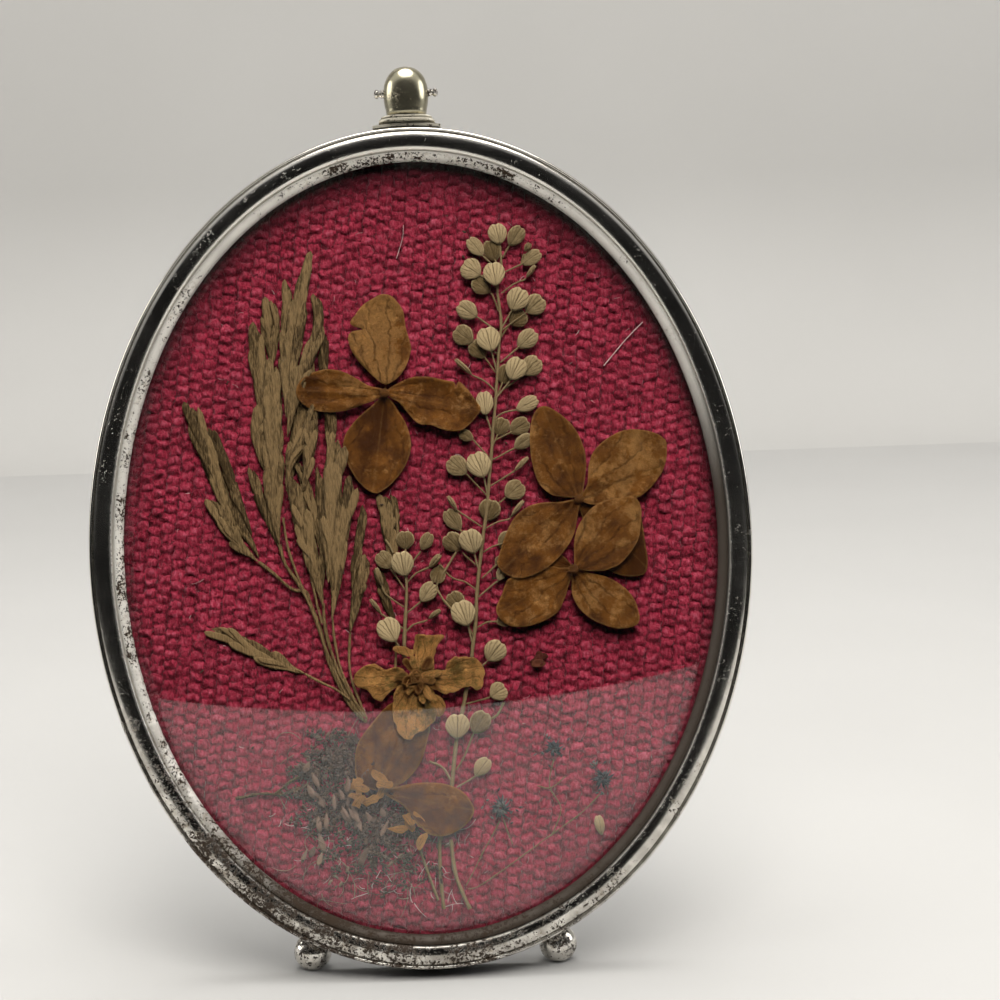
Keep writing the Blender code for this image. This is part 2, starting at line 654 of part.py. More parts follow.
TALL_PODS = [
    (13.1, 46.6, 2.9, 3.1, 13.5, 44.0), (15.9, 46.2, 2.6, 3.2, 13.4, 42.8),
    (9.8, 44.8, 2.2, 3.2, 13.2, 42.0), (8.9, 41.4, 3.4, 3.1, 13.0, 39.0),
    (12.4, 40.6, 3.3, 3.6, 12.9, 38.0), (18.2, 42.8, 3.2, 2.3, 13.1, 40.4),
    (18.0, 40.8, 1.2, 1.8, 13.0, 37.2), (15.8, 36.6, 3.4, 3.6, 13.0, 32.3),
    (18.4, 35.7, 3.2, 3.2, 13.1, 33.6), (8.1, 35.2, 2.9, 3.3, 12.9, 31.8),
    (7.4, 31.5, 3.2, 3.3, 12.4, 27.0), (11.2, 30.8, 3.6, 3.7, 12.4, 25.8),
    (17.1, 30.6, 2.9, 3.5, 12.6, 27.0), (15.2, 26.2, 3.3, 3.5, 12.1, 22.0),
    (17.6, 26.5, 3.2, 3.2, 12.3, 24.0), (7.2, 26.8, 1.3, 2.2, 12.2, 22.9),
    (10.3, 21.3, 2.7, 3.6, 11.6, 16.5), (16.8, 20.8, 3.4, 2.2, 11.7, 18.6),
    (15.5, 17.5, 2.8, 3.0, 11.4, 15.2), (16.0, 14.9, 1.9, 2.2, 11.2, 12.6),
    (15.6, 11.9, 2.0, 2.2, 10.6, 8.6), (5.8, 12.0, 3.0, 3.3, 10.4, 6.6),
    (9.1, 12.0, 3.6, 3.8, 10.2, 6.9), (14.4, 8.0, 3.2, 3.2, 10.1, 4.6),
    (14.8, 5.2, 1.6, 2.2, 9.8, 2.3), (4.9, 4.6, 2.6, 3.8, 9.7, 2.4),
    (4.8, 0.5, 3.0, 3.2, 8.7, -3.6), (7.5, 0.6, 3.5, 3.6, 8.9, -3.8),
    (12.0, -4.3, 1.6, 2.4, 8.3, -7.9), (3.2, -4.6, 2.4, 3.0, 8.3, -7.0),
    (6.0, -10.1, 3.6, 3.8, 7.3, -14.9), (10.6, -16.0, 3.4, 3.5, 6.6, -19.4),
    (10.9, -22.1, 3.0, 2.6, 5.8, -23.8), (4.6, -26.9, 3.6, 3.6, 4.5, -30.0),
    (8.0, -26.5, 3.2, 3.6, 4.2, -31.8), (8.1, -33.2, 2.4, 3.2, 3.4, -36.2),
]
SHORT_STEM = [(-2.5, -3.4), (-2.4, -7.0), (-3.0, -13.5), (-3.4, -19.0)]
SHORT_PODS = [
    (-2.8, -2.4, 3.4, 3.7, -2.5, -5.0), (-5.6, -1.8, 2.6, 2.9, -2.5, -6.0),
    (-2.2, 1.1, 2.8, 2.8, -2.5, -4.0), (0.9, 0.8, 2.0, 2.8, -2.4, -3.6),
    (2.0, -2.3, 1.4, 2.0, -2.3, -5.6), (0.9, -6.8, 2.6, 3.3, -2.6, -10.0),
    (-5.2, -12.2, 3.6, 3.8, -3.2, -15.0), (-7.2, -8.7, 1.3, 2.2, -2.7, -11.0),
    (2.2, -9.4, 1.2, 1.6, -2.9, -12.9),
]
GRASS_FAR_LEFT = [
    blade([(-34.0, 23.2), (-32.3, 17.0), (-29.8, 10.0), (-27.6, 4.8), (-24.4, -1.0)], 2.4),
    blade([(-31.7, 19.7), (-29.3, 14.0), (-27.1, 8.0), (-24.6, -0.6)], 1.7),
    blade([(-31.5, 8.5), (-29.4, 4.4), (-27.0, 1.0), (-24.4, -1.6)], 1.9),
    stalk([(-25.0, -0.4), (-22.0, -3.5), (-19.5, -5.8), (-17.6, -6.3)], 0.45),
]
GRASS_LEFT = [
    blade([(-23.4, 34.6), (-23.6, 30.0), (-23.1, 23.0), (-23.0, 14.0)], 2.5),
    blade([(-21.8, 38.3), (-21.8, 33.0), (-21.7, 26.0)], 2.0),
    blade([(-20.7, 29.2), (-21.6, 21.0), (-21.6, 12.0), (-21.6, 5.0), (-21.2, 0.4)], 3.0),
    blade([(-24.9, 12.9), (-24.0, 8.0), (-22.5, 4.0), (-21.1, 0.0)], 1.5),
    stalk([(-21.3, 2.0), (-20.2, -2.0), (-18.0, -5.4)], 0.5),
]
GRASS_MIDDLE = [
    blade([(-18.6, 40.8), (-18.9, 35.0), (-19.2, 28.0), (-19.4, 18.0)], 2.2),
    blade([(-14.6, 44.9), (-16.1, 40.6), (-17.4, 35.0), (-18.8, 24.0)], 2.1),
    blade([(-14.1, 38.5), (-14.4, 33.0), (-15.0, 27.0), (-17.6, 17.0)], 2.6),
    blade([(-15.9, 30.5), (-17.0, 24.0), (-18.4, 17.0), (-19.8, 10.0)], 3.2),
    blade([(-15.0, 20.0), (-16.2, 15.0), (-17.4, 9.0), (-19.6, 3.0)], 2.0),
    stalk([(-19.4, 10.6), (-19.6, 3.0), (-19.0, -2.0), (-16.8, -6.6)], 0.5),
]
GRASS_FRONT = [
    blade([(-18.8, 11.3), (-18.2, 7.0), (-16.9, 1.5), (-15.8, -4.0), (-14.6, -9.0)], 2.7),
    blade([(-11.8, 16.9), (-12.7, 12.0), (-13.1, 6.0), (-13.5, 0.0), (-14.4, -6.0)], 2.9),
    blade([(-9.8, 10.4), (-11.0, 6.0), (-12.0, 1.0), (-12.9, -5.0), (-14.0, -10.2)], 2.7),
    blade([(-8.2, 6.5), (-9.2, 1.0), (-10.6, -6.0), (-11.3, -13.0)], 1.8),
    stalk([(-15.2, -6.0), (-13.8, -9.4), (-11.9, -12.2), (-11.2, -13.0)], 0.6),
]
GRASS_SMALL = [
    blade([(-5.2, 8.2), (-4.9, 3.0), (-4.2, -3.0), (-4.4, -13.0)], 2.2),
    blade([(-3.8, 8.0), (-3.6, 2.0), (-4.2, -6.0)], 1.2),
    blade([(-6.9, -3.2), (-6.2, -7.0), (-4.8, -13.0)], 1.2),
]
GRASS_LOW = [
    blade([(-32.2, -11.0), (-28.0, -13.4), (-24.0, -15.8), (-20.6, -17.6), (-18.0, -18.6)], 2.2),
    stalk([(-19.0, -18.2), (-15.0, -20.2), (-13.0, -21.6)], 0.45),
]
GRASS_STALK = [
    stalk([(-16.6, -8.6), (-15.4, -12.6), (-14.2, -17.2), (-12.4, -21.8), (-9.6, -26.0)], 1.5),
    stalk([(-11.3, -15.2), (-11.5, -18.0), (-10.8, -22.0), (-9.2, -25.8)], 0.5),
]
MOSS_TUFT = [
    [(-9.4, -28.4), (-11.6, -27.4), (-12.4, -30.4), (-15.6, -32.2), (-18.4, -34.6),
     (-16.6, -36.8), (-17.0, -40.8), (-13.4, -38.6), (-10.4, -40.4), (-8.8, -37.0)],
    [(-9.2, -38.8), (-12.0, -44.6), (-7.8, -47.2), (-3.2, -45.6), (-3.4, -41.4)],
    [(-12.0, -37.0), (-6.0, -37.0), (-6.0, -42.0), (-11.0, -42.0)],
]
LEAF_TWIG = [
    stalk([(-30.0, -36.2), (-25.0, -36.8), (-21.0, -36.0), (-18.8, -35.0)], 0.5),
    blade([(-19.8, -42.4), (-20.6, -39.8), (-21.6, -38.0), (-21.4, -35.6)], 1.4),
]
BLUE_SPRAY_LEFT = [
    pod(10.7, -39.4, 4.4, 2.6), stalk([(10.4, -39.4), (8.4, -44.4), (5.6, -50.2)], 0.4),
]
BLUE_SPRAY_RIGHT = [
    pod(26.2, -35.6, 3.2, 3.2), pod(19.0, -31.2, 2.8, 2.6),
    stalk([(26.0, -35.8), (22.0, -40.2), (17.4, -44.4), (8.4, -50.6)], 0.4),
    stalk([(19.0, -31.2), (18.0, -36.4), (19.4, -40.0), (18.0, -44.0)], 0.4),
]
STALK_LEFT = [stalk([(-2.2, -44.4), (-1.0, -47.4), (0.6, -52.6)], 0.6)]
STALK_MIDDLE = [stalk([(1.3, -43.6), (1.4, -48.6), (1.9, -54.4)], 0.8)]
STALK_RIGHT = [stalk([(3.2, -44.0), (3.4, -50.0), (5.6, -54.6)], 0.9)]
LOOSE_SEED = [pod(25.3, -42.5, 1.5, 2.9)]
BROWN_FLAKE = [[(16.2, -17.6), (17.6, -16.0), (18.6, -17.4), (17.2, -19.4)]]


def make_specimens():
    """Every pressed piece: its outlines, its layer over the cloth and its colour."""
    pieces = (
        ("grass_far_left", GRASS_FAR_LEFT, 0, GRASS), ("grass_left", GRASS_LEFT, 0, GRASS),
        ("grass_middle", GRASS_MIDDLE, 1, GRASS), ("grass_front", GRASS_FRONT, 2, GRASS),
        ("grass_small", GRASS_SMALL, 0, GRASS), ("grass_low", GRASS_LOW, 0, GRASS),
        ("grass_stalk", GRASS_STALK, 1, GRASS),
        ("peppergrass_short", raceme(SHORT_STEM, 0.6, SHORT_PODS), 1, POD),
        ("peppergrass_tall", raceme(TALL_STEM, 0.8, TALL_PODS), 2, POD),
        ("hydrangea_left", HYDRANGEA_LEFT, 3, PETAL),
        ("hydrangea_upper_right", HYDRANGEA_UPPER_RIGHT, 3, PETAL),
        ("hydrangea_lower_right", HYDRANGEA_LOWER_RIGHT, 4, PETAL),
        ("hydrangea_low", HYDRANGEA_LOW, 3, PETAL),
        ("crumpled_flower", CRUMPLED_FLOWER, 4, YELLOW_PETAL),
        ("moss_tuft", MOSS_TUFT, 0, MOSS), ("leaf_twig", LEAF_TWIG, 0, GRASS),
        ("blue_spray_left", BLUE_SPRAY_LEFT, 0, BLUE_FLOWER),
        ("blue_spray_right", BLUE_SPRAY_RIGHT, 1, BLUE_FLOWER),
        ("stalk_left", STALK_LEFT, 0, POD), ("stalk_middle", STALK_MIDDLE, 0, POD),
        ("stalk_right", STALK_RIGHT, 1, POD),
        ("loose_seed", LOOSE_SEED, 0, POD), ("brown_flake", BROWN_FLAKE, 0, MOSS),
    )
    for name, outlines, layer, material in pieces:
        flat_piece(name, outlines, layer, material)


clear_scene()
PARTS = new_collection(OBJECT_NAME)
CUTTERS = new_collection("cutters")

SILVERED = new_material("silvered_metal", (0.62, 0.60, 0.55), 0.25, metallic=1.0)
AGED_BRASS = new_material("aged_brass", (0.45, 0.36, 0.20), 0.4, metallic=1.0)
GLASS = new_material("clear_glass", (0.95, 0.97, 0.97), 0.02, transmission=1.0)
CLOTH_RED = new_material("crimson_cloth", (0.30, 0.03, 0.07), 0.9)
CARD_GREY = new_material("grey_card", (0.45, 0.42, 0.36), 0.9)
GRASS = new_material("dry_grass", (0.30, 0.23, 0.12), 0.8)
POD = new_material("dry_pods", (0.42, 0.36, 0.22), 0.7)
PETAL = new_material("brown_petals", (0.30, 0.16, 0.04), 0.7)
YELLOW_PETAL = new_material("yellow_petals", (0.36, 0.25, 0.08), 0.7)
MOSS = new_material("dark_moss", (0.08, 0.06, 0.04), 0.9)
BLUE_FLOWER = new_material("blue_black_flowers", (0.10, 0.10, 0.13), 0.8)

FACE = new_empty("leaning_face", None, (0.0, face_shift(), FACE_RISE), math.pi / 2 - LEAN)
STRUT = new_empty("strut_hinge", FACE, (0.0, HINGE_Y, HINGE_DEPTH), STRUT_ANGLE)

make_rim()
make_glass()
make_slab("cloth", CLOTH, CLOTH_RED)
make_slab("mount_card", CARD, CARD_GREY)
make_slab("back_plate", BACK, AGED_BRASS)
for number, angle in enumerate(TAB_ANGLES, start=1):
    make_tab(number, angle)
make_foot("foot_left", -1)
make_foot("foot_right", 1)
make_finial_strap()
make_finial_saddle()
make_finial_dome()
make_finial_pin()
make_strut_bracket()
make_bracket_rivet("left", -1)
make_bracket_rivet("right", 1)
make_strut_pin()
make_strut_leg()
make_specimens()
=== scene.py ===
"""Pressed flower frame: the visible pieces and finishes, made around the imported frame.

Plants and fittings are laid out in face millimetres: x across, y up the frame and z
out towards the viewer, with 0 at the crest of the moulding's roll.
"""

import json
import math
import random

import bmesh
import bpy
import numpy as np
from bpy.props import FloatProperty, FloatVectorProperty, IntProperty, PointerProperty
from bpy.types import Operator, Panel, PropertyGroup
from mathutils import Matrix, Vector, noise
from mathutils.geometry import delaunay_2d_cdt


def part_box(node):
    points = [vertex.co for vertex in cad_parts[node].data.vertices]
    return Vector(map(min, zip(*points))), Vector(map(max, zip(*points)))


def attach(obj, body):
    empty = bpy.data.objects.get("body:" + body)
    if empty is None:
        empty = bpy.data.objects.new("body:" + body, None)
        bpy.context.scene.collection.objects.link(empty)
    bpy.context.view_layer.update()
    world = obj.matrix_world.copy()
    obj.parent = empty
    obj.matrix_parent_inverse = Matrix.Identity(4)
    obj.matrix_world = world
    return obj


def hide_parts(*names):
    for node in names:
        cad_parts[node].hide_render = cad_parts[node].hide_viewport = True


bl_info = {
    "name": "Pressed Flower Frame",
    "version": (1, 0, 0),
    "blender": (4, 5, 0),
    "location": "View3D > Sidebar > Flower Frame",
    "description": "Finishes an oval easel frame of pressed flowers around its packed model",
    "category": "Add Mesh",
}

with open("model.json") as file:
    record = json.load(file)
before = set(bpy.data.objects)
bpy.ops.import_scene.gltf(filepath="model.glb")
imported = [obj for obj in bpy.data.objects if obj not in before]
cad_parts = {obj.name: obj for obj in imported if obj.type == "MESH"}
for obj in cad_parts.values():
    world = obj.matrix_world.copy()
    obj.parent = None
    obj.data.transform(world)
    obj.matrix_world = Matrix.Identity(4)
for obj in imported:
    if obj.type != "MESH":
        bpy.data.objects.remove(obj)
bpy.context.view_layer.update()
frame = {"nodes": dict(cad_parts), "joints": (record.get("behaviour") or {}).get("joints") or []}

MM = 0.001
LEAN = math.radians(11.0)
HINGE_UP = 20.0
HINGE_BEHIND = 9.5
MOULDING_WIDTH = 5.2
MOULDING_DEPTH = 7.0
GLASS_EDGE = -2.3
GLASS_RISE = 8.0
GLASS_THICKNESS = 1.0
CLOTH_VALLEY = -3.62
INNER_REACH = 3.9

rim_low, rim_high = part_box("rim")
OUTER_HALF = (rim_high.x / MM, 63.1)
SIGHT_HALF = (OUTER_HALF[0] - MOULDING_WIDTH, OUTER_HALF[1] - MOULDING_WIDTH)
CLOTH_HALF = (SIGHT_HALF[0] + INNER_REACH, SIGHT_HALF[1] + INNER_REACH)


def face_matrix():
    """Face millimetres to metres in the frame's own place, worked out from the strut's hinge."""
    hinge = frame["joints"][0]["pos_m"]
    up = (HINGE_UP * math.sin(LEAN) + HINGE_BEHIND * math.cos(LEAN)) * MM
    rise = (HINGE_UP * math.cos(LEAN) - HINGE_BEHIND * math.sin(LEAN)) * MM
    place = Matrix.Translation((0.0, hinge[1] - up, hinge[2] - rise))
    return place @ Matrix.Rotation(math.pi / 2 - LEAN, 4, "X") @ Matrix.Scale(MM, 4)


FACE = face_matrix()
FACE_UP = (FACE.to_3x3() @ Vector((0.0, 1.0, 0.0))).normalized()
FACE_OUT = (FACE.to_3x3() @ Vector((0.0, 0.0, 1.0))).normalized()
FACE_CENTRE = FACE @ Vector((0.0, 0.0, 0.0))


# ------------------------------------------------------------------ settings

def colour(label, text, value):
    """A colour setting."""
    return FloatVectorProperty(name=label, description=text, default=value, subtype="COLOR",
                               size=3, min=0.0, max=1.0)


def length(label, text, millimetres):
    """A length setting, in metres."""
    return FloatProperty(name=label, description=text, default=millimetres * MM, unit="LENGTH",
                         min=0.0, precision=5)


class FrameSettings(PropertyGroup):
    """Moulding, glass and fittings."""
    plate: colour("Plate", "Worn silver plate", (0.80, 0.768, 0.700))
    # Also the colour of the painted shade on the moulding's inner slope.
    tarnish_and_shade: colour("Tarnish", "Brown tarnish round the pits", (0.032, 0.021, 0.013))
    brass: colour("Brass", "Aged brass of the back and strut", (0.42, 0.30, 0.145))
    card: colour("Card", "Grey mount card", (0.33, 0.31, 0.28))
    unevenness: length("Unevenness", "How far the worn moulding wanders", 0.035)
    turns: IntProperty(name="Steps round", description="Steps round the oval", default=288,
                       min=48, max=720)


class ClothSettings(PropertyGroup):
    """The woven ground."""
    thread: colour("Thread", "Crimson thread", (0.500, 0.032, 0.072))
    # Painted highlight on the tops of the floats.
    painted_crest_highlight: colour("Lit thread", "Worn tops of the threads", (0.690, 0.130, 0.200))
    # Painted shade between the floats.
    gap: colour("Gap", "Colour between the threads", (0.115, 0.002, 0.010))
    pair_pitch: length("Pair pitch", "Distance between pairs of threads", 2.0)
    float_pitch: length("Float pitch", "Distance between floats in one column", 1.5)
    relief: length("Relief", "Height of the floats", 0.34)
    turn: FloatProperty(name="Turn", description="How far the weave is turned", unit="ROTATION",
                        default=math.radians(-7.0))


class PlantSettings(PropertyGroup):
    """Pressed plants."""
    petal_dark: colour("Dark petal", "Shaded hydrangea", (0.150, 0.048, 0.010))
    petal: colour("Petal", "Hydrangea", (0.540, 0.202, 0.036))
    petal_pale: colour("Pale petal", "Lit hydrangea and petal edges", (0.880, 0.430, 0.130))
    yellow: colour("Yellow petal", "Crumpled flower", (0.350, 0.235, 0.066))
    # Painted shade: the colour of pods lying further back.
    pod_dark: colour("Dark pod", "Inner side of a pod", (0.150, 0.098, 0.040))
    pod: colour("Pod", "Papery pod", (0.500, 0.372, 0.200))
    grass_dark: colour("Dark grass", "Grass in shade", (0.058, 0.035, 0.014))
    grass: colour("Grass", "Dry grass", (0.312, 0.203, 0.092))
    moss: colour("Moss", "Dark tuft", (0.150, 0.094, 0.066))
    blue: colour("Blue", "Blue-black flower heads", (0.040, 0.060, 0.085))


GROUPS = {"flower_frame": FrameSettings, "flower_cloth": ClothSettings, "flower_plants": PlantSettings}


# ---------------------------------------------------------------- mesh helpers

def link(name, mesh):
    """A new object in the scene for a mesh."""
    item = bpy.data.objects.new(name, mesh)
    bpy.context.scene.collection.objects.link(item)
    return item


def discard(item):
    """Remove a helper object and its data."""
    data = item.data
    bpy.data.objects.remove(item, do_unlink=True)
    if data and data.users == 0:
        bpy.data.meshes.remove(data)


def baked(item):
    """Turn the evaluated object into a plain mesh and drop its modifiers."""
    bpy.context.view_layer.update()
    graph = bpy.context.evaluated_depsgraph_get()
    mesh = bpy.data.meshes.new_from_object(item.evaluated_get(graph), preserve_all_data_layers=True,
                                           depsgraph=graph)
    item.modifiers.clear()
    old = item.data
    item.data = mesh
    bpy.data.meshes.remove(old)
    mesh.name = item.name
    return item


def glass_inside(x, y):
    """Height of the glass's inner surface over a point of the face."""
    across = (x / SIGHT_HALF[0]) ** 2 + (y / SIGHT_HALF[1]) ** 2
    return GLASS_EDGE - GLASS_THICKNESS + GLASS_RISE * np.maximum(0.0, 1.0 - across)


def settle(item, slot, *nodes, body="frame", under_glass=True):
    """Set a finished piece in its place, on its body, for its CAD nodes."""
    mesh = item.data
    points = np.empty(len(mesh.vertices) * 3)
    mesh.vertices.foreach_get("co", points)
    points = points.reshape(-1, 3)
    if under_glass:
        roof = glass_inside(points[:, 0], points[:, 1]) - 0.12
        points[:, 2] = np.minimum(points[:, 2], roof)
        mesh.vertices.foreach_set("co", points.ravel())
    mesh.transform(FACE)
    mesh.update()
    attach(item, body)
    if nodes:
        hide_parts(*nodes)
    return item


class Heap:
    """Vertices, faces and vertex values that become one mesh."""

    def __init__(self):
        self.points = []
        self.faces = []
        self.leaf = []
        self.tone = []
        self.edge = []

    def add(self, points, faces, leaf=None, tone=0.5, edge=1.0):
        """Append one shape; leaf is its own (along, across) coordinates."""
        start = len(self.points)
        count = len(points)
        self.points.extend(points)
        self.faces.extend([tuple(start + i for i in face) for face in faces])
        self.leaf.extend(leaf if leaf is not None else [(0.0, 0.0)] * count)
        self.tone.extend(tone if hasattr(tone, "__len__") else [tone] * count)
        self.edge.extend(edge if hasattr(edge, "__len__") else [edge] * count)

    def finish(self, name, material, thickness=0.0):
        """The mesh object, given a wall if it has a thickness, in millimetres."""
        mesh = bpy.data.meshes.new(name)
        mesh.from_pydata([tuple(map(float, p)) for p in self.points], [], self.faces)
        for label, values in (("tone", self.tone), ("edge", self.edge)):
            layer = mesh.attributes.new(label, "FLOAT", "POINT")
            layer.data.foreach_set("value", np.array(values, np.float32))
        leaf = np.array(self.leaf, np.float32)
        corners = np.empty(len(mesh.loops), np.int32)
        mesh.loops.foreach_get("vertex_index", corners)
        layer = mesh.uv_layers.new(name="leaf")
        layer.data.foreach_set("uv", leaf[corners].ravel())
        mesh.materials.append(material)
        mesh.shade_smooth()
        item = link(name, mesh)
        if thickness:
            wall = item.modifiers.new("wall", "SOLIDIFY")
            wall.thickness = thickness
            wall.offset = -1.0
            wall.use_even_offset = False
            baked(item)
        return item


def rounded(points, closed=False, step=0.8):
    """A smooth curve through the points, sampled about every step."""
    points = [np.array(p, float) for p in points]
    count = len(points)
    spans = count if closed else count - 1
    curve = []
    for i in range(spans):
        if closed:
            a, b, c, d = (points[(i + k) % count] for k in (-1, 0, 1, 2))
        else:
            a, b, c, d = (points[min(max(i + k, 0), count - 1)] for k in (-1, 0, 1, 2))
        pieces = max(1, int(math.ceil(np.linalg.norm(c - b) / step)))
        for k in range(pieces):
            t = k / pieces
            curve.append(0.5 * (2 * b + (c - a) * t + (2 * a - 5 * b + 4 * c - d) * t * t
                                + (3 * b - a - 3 * c + d) * t ** 3))
    if not closed:
        curve.append(points[-1])
    return curve


def edge_distance(points, outline):
    """How far each point lies from a closed outline."""
    a = outline
    b = np.roll(outline, -1, axis=0)
    span = b - a
    square = np.maximum((span ** 2).sum(1), 1e-9)
    offset = points[:, None, :] - a[None]
    t = np.clip((offset * span[None]).sum(2) / square[None], 0.0, 1.0)
    nearest = a[None] + t[:, :, None] * span[None]
    return np.linalg.norm(points[:, None, :] - nearest, axis=2).min(1)


def inside(points, outline):
    """Which points lie inside a closed outline."""
    x, y = points[:, 0], points[:, 1]
    hit = np.zeros(len(points), bool)
    for (x0, y0), (x1, y1) in zip(outline, np.roll(outline, -1, axis=0)):
        crosses = (y0 > y) != (y1 > y)
        rise = (y1 - y0) if y1 != y0 else 1e-9
        hit ^= crosses & (x < (x1 - x0) * (y - y0) / rise + x0)
    return hit


def wander(points, scale, seed, depth=2):
    """Smooth random heights, about -1 to 1, over face points."""
    shift = Vector((seed * 7.13, seed * 3.71, seed * 1.37))
    return np.array([noise.fractal(Vector((p[0], p[1], 0.0)) / scale + shift, 1.0, 2.0, depth)
                     for p in points])


def petal(heap, outline, base, tip, lift, seed, crinkle=0.22, cup=0.0, curl=0.25, folds=(0, 0.0),
          crease=None, tone=0.5, spacing=0.50, smooth=True, ruffle=0.0):
    """One pressed petal from its outline, with its own ridges, crinkles and curled edge."""
    rng = random.Random(seed)
    rim = np.array(rounded(outline, closed=True, step=spacing)) if smooth else np.array(outline, float)
    if ruffle:
        rim = rim + ruffle * np.stack([wander(rim, 1.1, seed + 5), wander(rim, 1.1, seed + 9)], 1)
    low, high = rim.min(0), rim.max(0)
    grid = []
    rows = int((high[1] - low[1]) / (spacing * 0.87)) + 1
    columns = int((high[0] - low[0]) / spacing) + 1
    for row in range(rows):
        for column in range(columns):
            x = low[0] + (column + 0.5 * (row % 2)) * spacing + rng.uniform(-0.1, 0.1) * spacing
            y = low[1] + row * spacing * 0.87 + rng.uniform(-0.1, 0.1) * spacing
            grid.append((x, y))
    grid = np.array(grid)
    grid = grid[inside(grid, rim)]
    grid = grid[edge_distance(grid, rim) > spacing * 0.45]
    points = np.vstack([rim, grid]) if len(grid) else rim
    found = delaunay_2d_cdt([Vector(p) for p in points], [], [list(range(len(rim)))], 1, 1e-6)
    flat = np.array([(v.x, v.y) for v in found[0]])
    faces = [tuple(face) for face in found[2]]
    base, tip = np.array(base, float), np.array(tip, float)
    reach = np.linalg.norm(tip - base)
    ahead = (tip - base) / reach
    side = np.array((-ahead[1], ahead[0]))
    along = ((flat - base) @ ahead) / reach
    across = ((flat - base) @ side) / reach
    border = np.clip(edge_distance(flat, rim) / 1.3, 0.0, 1.0)
    height = lift + crinkle * wander(flat, 3.4, seed) + 0.18 * crinkle * wander(flat, 0.9, seed + 1)
    pucker = 1.0 - np.clip(3.0 * np.abs(wander(flat, 2.3, seed + 7, 1)), 0.0, 1.0)
    height += 0.75 * crinkle * pucker ** 2 * np.clip(border * 1.4, 0.2, 1.0)
    height += cup * np.clip(along, 0.0, 1.2) ** 2
    height += curl * (1.0 - border) ** 2 * (0.5 + 0.7 * wander(flat, 5.0, seed + 2))
    height -= 0.16 * np.exp(-(across / 0.03) ** 2) * np.clip(1.1 - along, 0.0, 1.0)
    if folds[0]:
        fade = np.clip(border * 1.5, 0.0, 1.0) * np.clip(along * 5.0, 0.0, 1.0)
        height += folds[1] * np.cos(across * folds[0] * 2 * math.pi) * fade
    if crease:
        start, end, depth, width = crease
        line = np.array(end, float) - np.array(start, float)
        line /= np.linalg.norm(line)
        off = (flat - np.array(start, float)) @ np.array((-line[1], line[0]))
        height += depth * (1.0 - np.clip(np.abs(off) / width, 0.0, 1.0))
    shade = np.clip(tone + 0.30 * wander(flat, 4.5, seed + 3) - 0.18 * np.exp(-along / 0.12), 0.0, 1.0)
    heap.add(np.column_stack([flat, height]), [f if normal_up(flat, f) else f[::-1] for f in faces],
             np.column_stack([along, across]), shade, border)


def normal_up(flat, face):
    """True if a flat face runs anticlockwise."""
    a, b, c = (flat[i] for i in face[:3])
    return (b[0] - a[0]) * (c[1] - a[1]) - (b[1] - a[1]) * (c[0] - a[0]) > 0.0


def lathe(heap, profile, steps, centre, axis="Z", tone=0.5):
    """A closed turned shape; the profile runs (radius, height) from pole to pole."""
    points = []
    faces = []
    rings = len(profile) - 2
    for radius, height in profile[1:-1]:
        for k in range(steps):
            angle = 2 * math.pi * k / steps
            points.append((radius * math.cos(angle), radius * math.sin(angle), height))
    points += [(0.0, 0.0, profile[0][1]), (0.0, 0.0, profile[-1][1])]
    first, last = rings * steps, rings * steps + 1
    for k in range(steps):
        nxt = (k + 1) % steps
        faces.append((first, k, nxt))
        faces.append((last, (rings - 1) * steps + nxt, (rings - 1) * steps + k))
        for r in range(rings - 1):
            faces.append((r * steps + k, (r + 1) * steps + k, (r + 1) * steps + nxt, r * steps + nxt))
    turn = {"Z": Matrix.Identity(3), "Y": Matrix.Rotation(-math.pi / 2, 3, "X"),
            "X": Matrix.Rotation(math.pi / 2, 3, "Y")}[axis]
    place = [Vector(centre) + turn @ Vector(p) for p in points]
    heap.add([tuple(p) for p in place], faces, tone=tone)


def outward(item):
    """Merge an item's doubles and point its faces outwards."""
    shape = bmesh.new()
    shape.from_mesh(item.data)
    bmesh.ops.remove_doubles(shape, verts=shape.verts, dist=1e-4)
    bmesh.ops.recalc_face_normals(shape, faces=shape.faces)
    shape.to_mesh(item.data)
    shape.free()
    return item


# ------------------------------------------------------------- geometry trees

